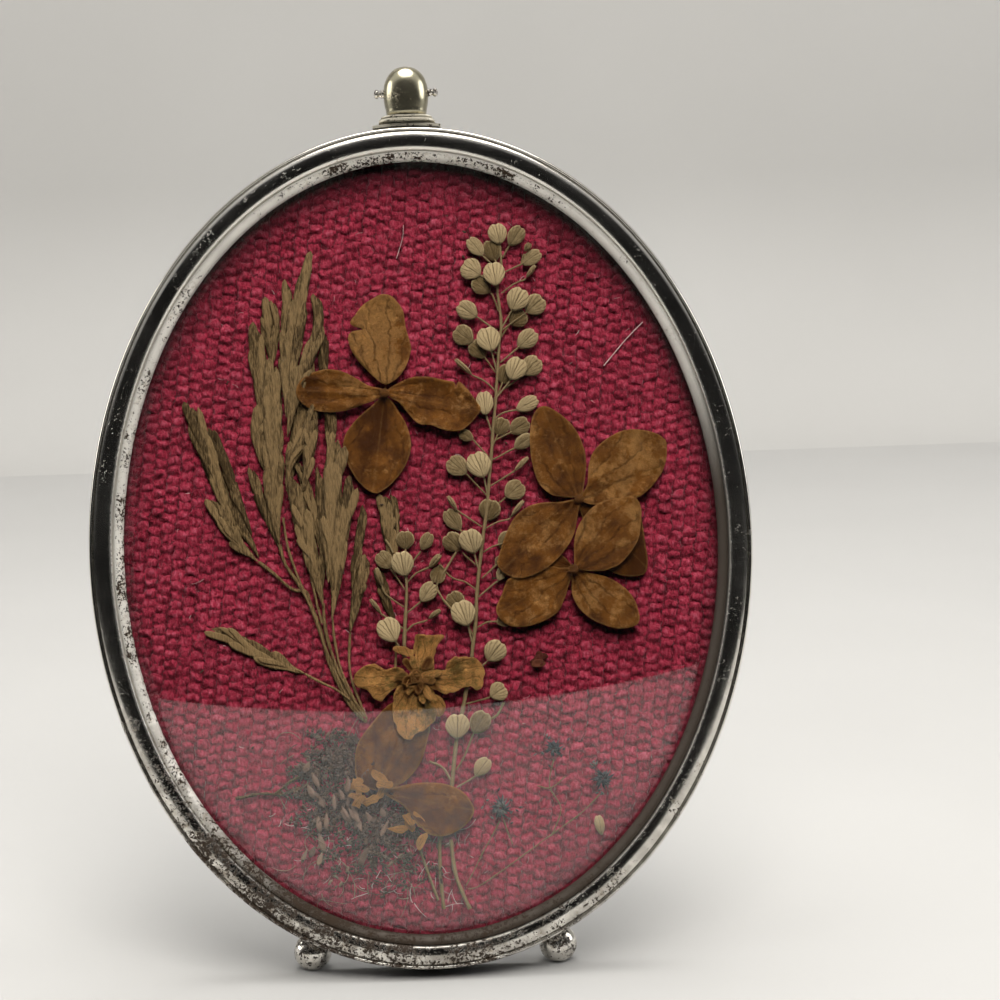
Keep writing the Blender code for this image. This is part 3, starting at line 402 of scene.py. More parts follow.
class Tree:
    """Builds one geometry tree from short calls, and runs it on a host object."""

    def __init__(self, name, inputs):
        self.group = bpy.data.node_groups.new(name, "GeometryNodeTree")
        self.group.is_modifier = True
        face = self.group.interface
        face.new_socket("Geometry", in_out="INPUT", socket_type="NodeSocketGeometry")
        for label, kind in inputs.items():
            face.new_socket(label, in_out="INPUT", socket_type="NodeSocket" + kind)
        face.new_socket("Geometry", in_out="OUTPUT", socket_type="NodeSocketGeometry")
        self.source = self.group.nodes.new("NodeGroupInput")
        self.sink = self.group.nodes.new("NodeGroupOutput")

    def given(self, label):
        """One of the tree's own inputs."""
        return self.source.outputs[label]

    def add(self, kind, inputs=None, **settings):
        """A node, with values or links for its named or numbered inputs."""
        node = self.group.nodes.new(kind)
        for label, value in settings.items():
            setattr(node, label, value)
        for label, value in (inputs or {}).items():
            socket = node.inputs[label]
            if isinstance(value, bpy.types.NodeSocket):
                self.group.links.new(value, socket)
            else:
                socket.default_value = value
        return node

    def math(self, operation, *values):
        """A Math node's result."""
        return self.add("ShaderNodeMath", dict(enumerate(values)), operation=operation).outputs[0]

    def vector(self, operation, *values):
        """A Vector Math node's result."""
        node = self.add("ShaderNodeVectorMath", dict(enumerate(values)), operation=operation)
        return node.outputs["Value" if operation in ("LENGTH", "DOT_PRODUCT") else "Vector"]

    def attribute(self, label, kind="FLOAT"):
        """A named attribute of the geometry."""
        return self.add("GeometryNodeInputNamedAttribute", {"Name": label}, data_type=kind).outputs[0]

    def close(self, geometry):
        """Wobble, realize and finish the shape, and end the tree."""
        noise_node = self.add("ShaderNodeTexNoise", {"Scale": self.given("Wobble Scale"), "Detail": 2.0})
        centred = self.vector("SUBTRACT", noise_node.outputs["Color"], (0.5, 0.5, 0.5))
        push = self.add("ShaderNodeVectorMath", {0: centred, "Scale": self.given("Wobble")},
                        operation="SCALE").outputs[0]
        real = self.add("GeometryNodeRealizeInstances", {"Geometry": geometry}).outputs[0]
        moved = self.add("GeometryNodeSetPosition", {"Geometry": real, "Offset": push}).outputs[0]
        smooth = self.add("GeometryNodeSetShadeSmooth", {"Geometry": moved}).outputs[0]
        done = self.add("GeometryNodeSetMaterial", {"Geometry": smooth, "Material": self.given("Material")})
        self.group.links.new(done.outputs[0], self.sink.inputs[0])
        return self

    def run(self, host, **values):
        """Set the inputs on a host, and turn the result into its plain mesh."""
        modifier = host.modifiers.new("build", "NODES")
        modifier.node_group = self.group
        for socket in self.group.interface.items_tree:
            label = socket.name.replace(" ", "_").lower()
            if socket.item_type == "SOCKET" and socket.in_out == "INPUT" and label in values:
                modifier[socket.identifier] = values[label]
        return baked(host)


FINISH_INPUTS = {"Wobble": "Float", "Wobble Scale": "Float", "Material": "Material"}


def sweep_tree():
    """Sweep a profile along the host's edge chains, scaled by the host's own radius."""
    tree = Tree("sweep_along_paths", {"Profile": "Object", **FINISH_INPUTS})
    path = tree.add("GeometryNodeMeshToCurve", {"Mesh": tree.given("Geometry")}).outputs[0]
    path = tree.add("GeometryNodeSetCurveNormal", {"Curve": path}, mode="Z_UP").outputs[0]
    info = tree.add("GeometryNodeObjectInfo", {"Object": tree.given("Profile")})
    ring = tree.add("GeometryNodeMeshToCurve", {"Mesh": info.outputs["Geometry"]}).outputs[0]
    swept = tree.add("GeometryNodeCurveToMesh", {"Curve": path, "Profile Curve": ring, "Fill Caps": True,
                                                 "Scale": tree.attribute("radius")}).outputs[0]
    return tree.close(swept)


def scatter_tree():
    """Put a copy of a template on each of the host's points, by the host's own values."""
    tree = Tree("copies_on_points", {"Template": "Object", **FINISH_INPUTS})
    info = tree.add("GeometryNodeObjectInfo", {"Object": tree.given("Template")})
    turn = tree.add("FunctionNodeEulerToRotation", {0: tree.attribute("turn", "FLOAT_VECTOR")}).outputs[0]
    copies = tree.add("GeometryNodeInstanceOnPoints",
                      {"Points": tree.given("Geometry"), "Instance": info.outputs["Geometry"],
                       "Rotation": turn, "Scale": tree.attribute("size", "FLOAT_VECTOR")}).outputs[0]
    return tree.close(copies)


def tuft_tree():
    """Scatter copies of a template over the host's faces at random."""
    tree = Tree("tufts_on_faces", {"Template": "Object", "Density": "Float", "Smallest": "Float",
                                   "Largest": "Float", "Lean": "Float", "Seed": "Int", **FINISH_INPUTS})
    spots = tree.add("GeometryNodeDistributePointsOnFaces",
                     {"Mesh": tree.given("Geometry"), "Density": tree.given("Density"),
                      "Seed": tree.given("Seed")}).outputs[0]
    lean = tree.given("Lean")
    least = tree.add("ShaderNodeCombineXYZ", {0: tree.math("MULTIPLY", lean, -1.0),
                                              1: tree.math("MULTIPLY", lean, -1.0), 2: 0.0}).outputs[0]
    most = tree.add("ShaderNodeCombineXYZ", {0: lean, 1: lean, 2: 2 * math.pi}).outputs[0]
    angles = tree.add("FunctionNodeRandomValue", {0: least, 1: most, "Seed": tree.given("Seed")},
                      data_type="FLOAT_VECTOR").outputs[0]
    turn = tree.add("FunctionNodeEulerToRotation", {0: angles}).outputs[0]
    size = tree.add("FunctionNodeRandomValue", {2: tree.given("Smallest"), 3: tree.given("Largest"),
                                                "Seed": tree.given("Seed")}, data_type="FLOAT").outputs[1]
    info = tree.add("GeometryNodeObjectInfo", {"Object": tree.given("Template")})
    copies = tree.add("GeometryNodeInstanceOnPoints",
                      {"Points": spots, "Instance": info.outputs["Geometry"], "Rotation": turn,
                       "Scale": size}).outputs[0]
    return tree.close(copies)


def weave_tree():
    """Repeat the host, one float of the weave, over an oval in staggered columns."""
    tree = Tree("basket_weave", {"Pitch X": "Float", "Pitch Y": "Float", "Half Width": "Float",
                                 "Half Height": "Float", "Turn": "Float", "Seed": "Int",
                                 "Drift": "Float", **FINISH_INPUTS})
    pitch_x, pitch_y = tree.given("Pitch X"), tree.given("Pitch Y")
    reach = tree.math("MULTIPLY", tree.given("Half Height"), 1.1)
    columns = tree.math("FLOOR", tree.math("DIVIDE", reach, pitch_x))
    rows = tree.math("FLOOR", tree.math("DIVIDE", reach, pitch_y))

    def span(count, pitch):
        full = tree.math("MULTIPLY", count, 2.0)
        return tree.math("MULTIPLY", full, pitch), tree.math("ADD", full, 1.0)

    size_x, count_x = span(columns, pitch_x)
    size_y, count_y = span(rows, pitch_y)
    grid = tree.add("GeometryNodeMeshGrid", {"Size X": size_x, "Size Y": size_y, "Vertices X": count_x,
                                             "Vertices Y": count_y}).outputs[0]
    spot = tree.add("GeometryNodeInputPosition").outputs[0]
    parts = tree.add("ShaderNodeSeparateXYZ", {0: spot})
    column = tree.math("ROUND", tree.math("DIVIDE", parts.outputs[0], pitch_x))
    odd = tree.math("FLOORED_MODULO", column, 2.0)
    stagger = tree.math("MULTIPLY", odd, tree.math("MULTIPLY", pitch_y, 0.5))
    shift = tree.add("ShaderNodeCombineXYZ", {1: stagger}).outputs[0]
    grid = tree.add("GeometryNodeSetPosition", {"Geometry": grid, "Offset": shift}).outputs[0]
    turned = tree.add("ShaderNodeVectorRotate", {"Vector": tree.add("GeometryNodeInputPosition").outputs[0],
                                                 "Angle": tree.given("Turn")},
                      rotation_type="Z_AXIS").outputs[0]
    halves = tree.add("ShaderNodeCombineXYZ", {0: tree.given("Half Width"), 1: tree.given("Half Height"),
                                               2: 1.0}).outputs[0]
    away = tree.vector("LENGTH", tree.vector("DIVIDE", turned, halves))
    outside = tree.math("GREATER_THAN", away, 1.0)
    grid = tree.add("GeometryNodeDeleteGeometry", {"Geometry": grid, "Selection": outside}).outputs[0]
    rise = tree.add("FunctionNodeRandomValue", {2: 0.60, 3: 1.25, "Seed": tree.given("Seed")},
                    data_type="FLOAT").outputs[1]
    size = tree.add("ShaderNodeCombineXYZ", {0: 1.0, 1: 1.0, 2: rise}).outputs[0]
    copies = tree.add("GeometryNodeInstanceOnPoints", {"Points": grid, "Instance": tree.given("Geometry"),
                                                       "Scale": size}).outputs[0]
    real = tree.add("GeometryNodeRealizeInstances", {"Geometry": copies}).outputs[0]
    joined = tree.add("GeometryNodeMergeByDistance", {"Geometry": real, "Distance": 0.06}).outputs[0]
    slow = tree.add("ShaderNodeTexNoise", {"Scale": 0.11, "Detail": 1.0}).outputs["Color"]
    drift = tree.add("ShaderNodeVectorMath", {0: tree.vector("SUBTRACT", slow, (0.5, 0.5, 0.5)),
                                              "Scale": tree.given("Drift")}, operation="SCALE").outputs[0]
    level = tree.vector("MULTIPLY", drift, (1.0, 1.0, 0.0))
    moved = tree.add("GeometryNodeSetPosition", {"Geometry": joined, "Offset": level}).outputs[0]
    angle = tree.add("ShaderNodeCombineXYZ", {2: tree.given("Turn")}).outputs[0]
    whole = tree.add("GeometryNodeTransform", {"Geometry": moved, "Rotation": angle}).outputs[0]
    return tree.close(whole)


def chains(name, paths):
    """A host of edge chains; each path is (points, radii, tone, closed)."""
    points, edges, radii, tones = [], [], [], []
    for path, sizes, tone, closed in paths:
        start = len(points)
        points += [tuple(map(float, p)) for p in path]
        radii += list(sizes)
        tones += [tone] * len(path)
        edges += [(start + i, start + i + 1) for i in range(len(path) - 1)]
        if closed:
            edges.append((start + len(path) - 1, start))
    mesh = bpy.data.meshes.new(name)
    mesh.from_pydata(points, edges, [])
    for label, values in (("radius", radii), ("tone", tones)):
        layer = mesh.attributes.new(label, "FLOAT", "POINT")
        layer.data.foreach_set("value", np.array(values, np.float32))
    return link(name, mesh)


def ring_profile(name, points):
    """A closed profile to sweep."""
    count = len(points)
    mesh = bpy.data.meshes.new(name)
    mesh.from_pydata([(x, y, 0.0) for x, y in points], [(i, (i + 1) % count) for i in range(count)], [])
    return link(name, mesh)


def swept(name, paths, profile, material, wobble=0.0, wobble_scale=1.0):
    """Sweep a profile along paths into one mesh."""
    outline = ring_profile("profile", profile)
    host = chains(name, paths)
    sweep_tree().run(host, profile=outline, material=material, wobble=wobble, wobble_scale=wobble_scale)
    discard(outline)
    return outward_if_needed(host)


def outward_if_needed(item):
    """Turn the faces of a swept piece outwards if the sweep left them inwards."""
    shape = bmesh.new()
    shape.from_mesh(item.data)
    if shape.calc_volume(signed=True) < 0.0:
        bmesh.ops.reverse_faces(shape, faces=shape.faces)
        shape.to_mesh(item.data)
    shape.free()
    return item


def copies(name, template, spots, material, wobble=0.0, wobble_scale=1.0):
    """Copies of a template mesh; each spot is (place, turn, size, tone)."""
    mesh = bpy.data.meshes.new(name)
    mesh.from_pydata([tuple(map(float, s[0])) for s in spots], [], [])
    for label, index in (("turn", 1), ("size", 2)):
        layer = mesh.attributes.new(label, "FLOAT_VECTOR", "POINT")
        layer.data.foreach_set("vector", np.array([s[index] for s in spots], np.float32).ravel())
    layer = mesh.attributes.new("tone", "FLOAT", "POINT")
    layer.data.foreach_set("value", np.array([s[3] for s in spots], np.float32))
    host = link(name, mesh)
    scatter_tree().run(host, template=template, material=material, wobble=wobble, wobble_scale=wobble_scale)
    return host


def joined(name, *items):
    """Join items into the first one, under one name."""
    first = items[0]
    with bpy.context.temp_override(active_object=first, selected_editable_objects=list(items),
                                   selected_objects=list(items), object=first):
        bpy.ops.object.join()
    first.name = name
    first.data.name = name
    return first


def tube(sides=8, flat=1.0):
    """A round profile of radius 1."""
    return [(math.cos(2 * math.pi * k / sides), flat * math.sin(2 * math.pi * k / sides))
            for k in range(sides)]


# ----------------------------------------------------------------- materials

class Finish:
    """One Principled material, built from short calls."""

    def __init__(self, name, roughness=0.6, metallic=0.0):
        self.material = bpy.data.materials.new(name)
        self.material.use_nodes = True
        self.tree = self.material.node_tree
        self.shader = self.tree.nodes["Principled BSDF"]
        self.shader.inputs["Roughness"].default_value = roughness
        self.shader.inputs["Metallic"].default_value = metallic
        self.place = self.tree.nodes.new("ShaderNodeTexCoord").outputs["Object"]

    def add(self, kind, inputs=None, **settings):
        """A node, with values or links for its inputs."""
        node = self.tree.nodes.new(kind)
        for label, value in settings.items():
            setattr(node, label, value)
        for label, value in (inputs or {}).items():
            self.feed(node.inputs[label], value)
        return node

    def feed(self, socket, value):
        """Link or set one socket."""
        if isinstance(value, bpy.types.NodeSocket):
            self.tree.links.new(value, socket)
        elif socket.type == "RGBA" and len(value) == 3:
            socket.default_value = (*value, 1.0)
        else:
            socket.default_value = value

    def set(self, label, value):
        """Set or link one of the shader's inputs."""
        self.feed(self.shader.inputs[label], value)
        return self

    def stretched(self, scale, turn=(0.0, 0.0, 0.0), vector=None):
        """Coordinates stretched and turned for a pattern with a grain."""
        return self.add("ShaderNodeMapping", {"Vector": vector or self.place, "Scale": scale,
                                              "Rotation": turn}).outputs[0]

    def noise(self, scale, detail=3.0, roughness=0.55, vector=None, distortion=0.0):
        """Noise; a scale of 1000 gives features of about a millimetre."""
        return self.add("ShaderNodeTexNoise", {"Vector": vector or self.place, "Scale": scale,
                                               "Detail": detail, "Roughness": roughness,
                                               "Distortion": distortion}).outputs["Fac"]

    def cells(self, scale, feature="F1", vector=None, randomness=1.0):
        """Distances in a cell pattern."""
        return self.add("ShaderNodeTexVoronoi", {"Vector": vector or self.place, "Scale": scale,
                                                 "Randomness": randomness}, feature=feature).outputs[0]

    def spread(self, value, low, high, to_low=0.0, to_high=1.0):
        """Map a value's range onto another, clamped and smooth."""
        return self.add("ShaderNodeMapRange", {0: value, 1: low, 2: high, 3: to_low, 4: to_high},
                        interpolation_type="SMOOTHSTEP").outputs[0]

    def math(self, operation, *values):
        """A Math node's result."""
        return self.add("ShaderNodeMath", dict(enumerate(values)), operation=operation).outputs[0]

    def mix(self, factor, a, b, blend="MIX"):
        """Mix two colours."""
        node = self.add("ShaderNodeMix", data_type="RGBA", blend_type=blend)
        for index, value in ((0, factor), (6, a), (7, b)):
            self.feed(node.inputs[index], value)
        return node.outputs[2]

    def attribute(self, label):
        """A value stored on the piece's vertices."""
        return self.add("ShaderNodeAttribute", attribute_name=label).outputs["Fac"]

    def bump(self, height, distance, strength=1.0, under=None):
        """A bump, over an earlier one if given."""
        inputs = {"Height": height, "Distance": distance, "Strength": strength}
        if under is not None:
            inputs["Normal"] = under
        return self.add("ShaderNodeBump", inputs).outputs[0]


def settings(group):
    """The scene's settings of one group."""
    return getattr(bpy.context.scene, group)


def shade(value, factor):
    """A colour made lighter or darker."""
    return tuple(min(1.0, c * factor) for c in value)


def silver_plate(name, region=None, dull=0.0, tint=(1.0, 1.0, 1.0)):
    """Worn plate: bright and softly scratched, with brown-black pits gathered low on the left and painted shade on
    the inner slope low on the right.
    """
    own = settings("flower_frame")
    f = Finish(name, metallic=1.0)
    parts = f.add("ShaderNodeSeparateXYZ", {0: f.place})
    across, up = parts.outputs[0], parts.outputs[2]
    inner = 0.0
    if region is None:
        inner = f.attribute("inner")
        slope = f.spread(inner, 0.25, 0.85)
        left_side = f.spread(f.math("ADD", across, f.math("MULTIPLY", up, 0.22)), -0.045, 0.030, 0.92, 0.10)
        crown = f.spread(up, 0.095, 0.125, 0.0, 0.85)
        foot_side = f.math("MULTIPLY", f.spread(up, 0.006, 0.070, 1.0, 0.0),
                           f.spread(across, -0.030, 0.045, 1.0, 0.55))
        region = f.math("MULTIPLY", slope, f.math("MAXIMUM", left_side, crown))
        region = f.math("MAXIMUM", region, f.math("MULTIPLY", foot_side, 1.05))
        region = f.math("MAXIMUM", region, 0.30)
        foot_side_weight = foot_side
        # Painted shade: the inner slope darkened low on the right.
        low_right_shade = f.spread(f.math("SUBTRACT", up, f.math("MULTIPLY", across, 0.9)), 0.028, 0.062, 0.96, 0.0)
        shaded = f.math("MULTIPLY", f.spread(inner, 0.10, 0.60), low_right_shade)
    else:
        foot_side_weight = shaded = 0.0
    patches = f.noise(240.0, 4.0, 0.65)
    gather = f.math("ADD", f.math("MULTIPLY", region, 0.24), f.math("MULTIPLY", patches, 0.50))
    specks = f.noise(1900.0, 4.0, 0.7)
    grains = f.noise(4200.0, 3.0, 0.6)
    rough_sum = f.math("ADD", f.math("MULTIPLY", specks, 0.65), f.math("MULTIPLY", grains, 0.35))
    mask = f.spread(f.math("ADD", rough_sum, gather), 0.975, 1.000)
    halo = f.spread(f.math("ADD", f.noise(900.0, 4.0, 0.7), gather), 0.90, 1.20)
    cloud = f.noise(90.0, 3.0, 0.6)
    plate = tuple(c * t for c, t in zip(own.plate, tint))
    bright = f.mix(f.spread(cloud, 0.3, 0.75), plate, shade(plate, 0.80))
    stained = f.mix(f.math("MULTIPLY", halo, 0.60), bright, (0.36, 0.29, 0.20))
    # Darker in noisy patches low down, more on the left.
    foot_side_darkening = f.math("MULTIPLY", foot_side_weight, f.spread(f.noise(420.0, 4.0, 0.65), 0.35, 0.60))
    stained = f.mix(f.math("MULTIPLY", foot_side_darkening, 0.62), stained, shade(own.tarnish_and_shade, 2.2))
    # Painted shade on the inner slope, low on the right.
    stained = f.mix(shaded, stained, shade(own.tarnish_and_shade, 1.1))
    f.set("Base Color", f.mix(mask, stained, own.tarnish_and_shade))
    scratches = f.noise(900.0, 2.0, 0.5, f.stretched((0.35, 1.0, 3.0), (0.0, 0.6, 0.9)))
    soft = f.math("ADD", f.spread(cloud, 0.25, 0.8, 0.09 + dull, 0.19 + dull), f.math("MULTIPLY", scratches, 0.10))
    soft = f.math("ADD", soft, f.math("MULTIPLY", halo, 0.16))
    soft = f.math("ADD", soft, f.math("MULTIPLY", inner, 0.34))
    f.set("Roughness", f.math("ADD", soft, f.math("MULTIPLY", mask, 0.40)))
    f.set("Metallic", f.math("MULTIPLY", f.spread(mask, 0.0, 1.0, 1.0 - 1.2 * dull, 0.25),
                             f.math("SUBTRACT", 1.0, f.math("MULTIPLY", inner, 0.55))))
    dents = f.bump(f.noise(260.0, 2.0, 0.5), 0.00006, 0.5)
    f.set("Normal", f.bump(f.math("MULTIPLY", mask, -1.0), 0.00007, 0.8, dents))
    return f.material


def aged_brass(name):
    """Lacquered brass gone brown, brushed along its length."""
    own = settings("flower_frame")
    f = Finish(name, metallic=1.0)
    cloud = f.noise(120.0, 5.0, 0.65)
    spots = f.spread(f.noise(950.0, 4.0, 0.7), 0.60, 0.72)
    base = f.mix(f.spread(cloud, 0.35, 0.7), own.brass, shade(own.brass, 0.42))
    f.set("Base Color", f.mix(spots, base, shade(own.tarnish_and_shade, 0.8)))
    brushed = f.noise(1400.0, 2.0, 0.5, f.stretched((1.0, 1.0, 0.04)))
    f.set("Roughness", f.math("ADD", f.spread(cloud, 0.3, 0.8, 0.24, 0.46), f.math("MULTIPLY", spots, 0.3)))
    f.set("Normal", f.bump(brushed, 0.00003, 0.5, f.bump(f.noise(200.0), 0.0001, 0.4)))
    return f.material


def clear_glass(name):
    """Old clear glass with the faintest haze and a faint ripple."""
    f = Finish(name, roughness=0.015)
    f.set("Base Color", (0.985, 0.99, 0.985)).set("Transmission Weight", 1.0).set("IOR", 1.5)
    ripples = f.noise(60.0, 1.0, 0.4)
    f.set("Normal", f.bump(ripples, 0.00005, 0.25))
    return f.material


def grey_card(name):
    """Pulpy grey card."""
    own = settings("flower_frame")
    f = Finish(name, roughness=0.92)
    pulp = f.noise(1600.0, 5.0, 0.7)
    f.set("Base Color", f.mix(pulp, shade(own.card, 0.75), shade(own.card, 1.25)))
    f.set("Normal", f.bump(pulp, 0.0001, 0.4))
    return f.material


def crimson_cloth(name):
    """Crimson thread: painted shade between the floats and a painted highlight on their tops, with spun fibre."""
    own = settings("flower_cloth")
    f = Finish(name, roughness=0.86)
    raised = f.attribute("raise")
    fibre = f.spread(f.noise(2600.0, 4.0, 0.65, f.stretched((1.0, 1.0, 0.45), (0.0, own.turn, 0.0))),
                     0.34, 0.66)
    fuzz = f.noise(5200.0, 3.0, 0.6)
    patch = f.noise(75.0, 3.0, 0.6)
    mottle = f.noise(420.0, 3.0, 0.6)
    # The float height sets the colour: painted shade in the gaps, painted highlight on the tops.
    lit = f.math("ADD", f.math("MULTIPLY", raised, 0.66), f.math("MULTIPLY", fibre, 0.50))
    lit = f.math("ADD", lit, f.math("MULTIPLY", f.math("SUBTRACT", mottle, 0.5), 0.9))
    body = f.mix(f.spread(lit, 0.20, 0.88), own.gap, own.thread)
    body = f.mix(f.spread(lit, 0.74, 1.30), body, own.painted_crest_highlight)
    body = f.mix(f.spread(patch, 0.30, 0.72, 0.0, 0.30), body, shade(own.thread, 0.55))
    # Painted shadow of the moulding on the cloth near its edge.
    body = f.mix(f.math("MULTIPLY", f.attribute("covered"), 0.80), body, shade(own.gap, 0.55))
    f.set("Base Color", body)
    f.set("Sheen Weight", 0.34).set("Sheen Roughness", 0.5).set("Sheen Tint", (0.9, 0.55, 0.62))
    f.set("Specular IOR Level", 0.25)
    strand = f.bump(fibre, 0.00022, 0.8)
    f.set("Normal", f.bump(fuzz, 0.00009, 0.6, strand))
    return f.material


def leafy(name, dark, middle, pale, vein_scale=1.0, roughness=0.62, edge_glow=0.40, veins=True):
    """A dried petal: mottled, with a midrib, side veins, a fine network, painted shade in its fine creases and a
    paler edge.
    """
    f = Finish(name, roughness=roughness)
    leaf = f.add("ShaderNodeUVMap", uv_map="leaf").outputs[0]
    parts = f.add("ShaderNodeSeparateXYZ", {0: leaf})
    along, across = parts.outputs[0], f.math("ABSOLUTE", parts.outputs[1])
    wobble = f.math("MULTIPLY", f.math("SUBTRACT", f.noise(300.0, 3.0, 0.6), 0.5), 0.34)
    rib = f.spread(f.math("ADD", across, f.math("MULTIPLY", f.math("ABSOLUTE", wobble), 0.25)),
                   0.0, 0.024, 1.0, 0.0)
    away = f.math("ADD", along, 0.14)
    ray = f.math("ADD", f.math("ARCTAN2", parts.outputs[1], away), wobble)
    beat = f.math("ABSOLUTE", f.math("SUBTRACT", f.math("FRACT", f.math("MULTIPLY", ray, 4.2 * vein_scale)),
                                     0.5))
    side = f.spread(f.math("MULTIPLY", beat, away), 0.015, 0.085, 1.0, 0.0)
    bent = f.add("ShaderNodeVectorMath", {0: f.place, 1: f.add("ShaderNodeTexNoise", {
        "Vector": f.place, "Scale": 700.0}).outputs["Color"], 2: (0.0009, 0.0009, 0.0009)},
        operation="MULTIPLY_ADD").outputs[0]
    net = f.spread(f.cells(760.0, "DISTANCE_TO_EDGE", bent), 0.0, 0.15, 1.0, 0.0)
    fine = f.spread(f.cells(2100.0, "DISTANCE_TO_EDGE", bent), 0.0, 0.12, 1.0, 0.0)
    tone = f.attribute("tone")
    mottle = f.noise(330.0, 5.0, 0.62)
    body = f.mix(f.spread(f.math("ADD", tone, f.math("MULTIPLY", mottle, 1.2)), 0.62, 1.20), dark, middle)
    body = f.mix(f.spread(f.math("ADD", tone, f.noise(900.0, 4.0, 0.7)), 0.86, 1.16), body, pale)
    lines = f.math("ADD", f.math("MULTIPLY", side, 0.55), f.math("MULTIPLY", net, 0.34))
    lines = f.math("MINIMUM", f.math("ADD", lines, f.math("MULTIPLY", fine, 0.16)), 1.0)
    lines = f.math("MULTIPLY", lines, f.spread(f.noise(520.0, 3.0, 0.6), 0.32, 0.66, 0.35, 1.0))
    if veins:
        body = f.mix(f.math("MULTIPLY", lines, 0.85), body, shade(dark, 0.75))
        body = f.mix(f.math("MULTIPLY", rib, 0.20), body, shade(pale, 0.85))
    ridge = f.math("ABSOLUTE", f.math("SUBTRACT", f.noise(1150.0, 3.0, 0.6, bent), 0.5))
    crease_and_shade = f.spread(ridge, 0.0, 0.026, 1.0, 0.0)
    # Painted shade in the fine creases.
    body = f.mix(f.math("MULTIPLY", crease_and_shade, 0.50), body, shade(dark, 1.1))
    spots = f.spread(f.noise(1500.0, 2.0, 0.5), 0.72, 0.80)
    body = f.mix(f.math("MULTIPLY", spots, 0.7), body, shade(dark, 0.35))
    rim = f.spread(f.attribute("edge"), 0.0, 0.26, 1.0, 0.0)
    body = f.mix(f.math("MULTIPLY", rim, edge_glow), body, pale)
    f.set("Base Color", body)
    f.set("Specular IOR Level", 0.35)
    f.set("Roughness", f.spread(mottle, 0.3, 0.7, roughness - 0.08, roughness + 0.12))
    relief = f.math("SUBTRACT", f.math("MULTIPLY", mottle, 0.5), f.math("MULTIPLY", lines, 0.5))
    relief = f.math("SUBTRACT", relief, f.math("MULTIPLY", crease_and_shade, 0.30))
    f.set("Normal", f.bump(relief, 0.00120, 1.0, f.bump(f.noise(2400.0, 3.0, 0.6), 0.00005, 0.5)))
    return f.material


def papery(name, dark, pale):
    """A dry pod or stem: papery, faintly ribbed, pale or dark by its own tone, which on pods and their stalks is
    painted light and shade.
    """
    f = Finish(name, roughness=0.68)
    tone = f.attribute("tone")
    grain = f.noise(1400.0, 4.0, 0.65)
    level = f.math("ADD", tone, f.math("MULTIPLY", f.math("SUBTRACT", grain, 0.5), 0.5))
    body = f.mix(f.spread(level, 0.0, 1.0), dark, pale)
    blotch = f.spread(f.noise(620.0, 3.0, 0.6), 0.56, 0.74)
    body = f.mix(f.math("MULTIPLY", blotch, 0.32), body, shade(dark, 0.9))
    f.set("Base Color", body)
    f.set("Specular IOR Level", 0.35)
    f.set("Normal", f.bump(grain, 0.00012, 0.7))
    return f.material


def podded(name, dark, pale):
    """A dry flat pod: a thin dark midline, veins that fan out to a pale rim."""
    f = Finish(name, roughness=0.66)
    tone = f.attribute("tone")
    across, up = f.attribute("pod_x"), f.attribute("pod_y")
    grain = f.noise(1300.0, 4.0, 0.65)
    level = f.math("ADD", tone, f.math("MULTIPLY", f.math("SUBTRACT", grain, 0.5), 0.8))
    body = f.mix(f.spread(level, 0.0, 1.0), dark, pale)
    ray = f.math("ADD", f.math("ARCTAN2", across, f.math("ADD", up, 0.66)), f.math("MULTIPLY", grain, 0.22))
    beat = f.math("ABSOLUTE", f.math("SUBTRACT", f.math("FRACT", f.math("MULTIPLY", ray, 5.0)), 0.5))
    veins = f.spread(beat, 0.0, 0.16, 1.0, 0.0)
    body = f.mix(f.math("MULTIPLY", veins, 0.38), body, shade(dark, 1.1))
    middle = f.spread(f.math("ABSOLUTE", across), 0.012, 0.040, 1.0, 0.0)
    body = f.mix(f.math("MULTIPLY", middle, 0.46), body, shade(dark, 0.7))
    rim = f.spread(f.attribute("edge"), 0.05, 0.20, 1.0, 0.0)
    body = f.mix(f.math("MULTIPLY", rim, 0.45), body, shade(pale, 1.15))
    f.set("Base Color", body)
    f.set("Specular IOR Level", 0.35)
    relief = f.math("SUBTRACT", grain, f.math("MULTIPLY", veins, 0.8))
    f.set("Normal", f.bump(relief, 0.00016, 0.9))
    return f.material


def grassy(name, dark, pale):
    """Dry grass: streaked along each scale."""
    f = Finish(name, roughness=0.66)
    tone = f.attribute("tone")
    streak = f.spread(f.noise(4600.0, 3.0, 0.6, f.stretched((1.0, 1.0, 0.035), (0.0, 0.12, 0.0))), 0.34, 0.66)
    patch = f.noise(380.0, 4.0, 0.65)
    level = f.math("ADD", f.math("MULTIPLY", tone, 0.95), f.math("MULTIPLY", f.math("SUBTRACT", streak, 0.5), 0.50))
    level = f.math("ADD", level, f.math("MULTIPLY", f.math("SUBTRACT", patch, 0.5), 0.5))
    f.set("Base Color", f.mix(f.spread(level, 0.02, 0.86), dark, pale))
    f.set("Specular IOR Level", 0.32)
    f.set("Normal", f.bump(streak, 0.00013, 0.9))
    return f.material


FINISHES = {}


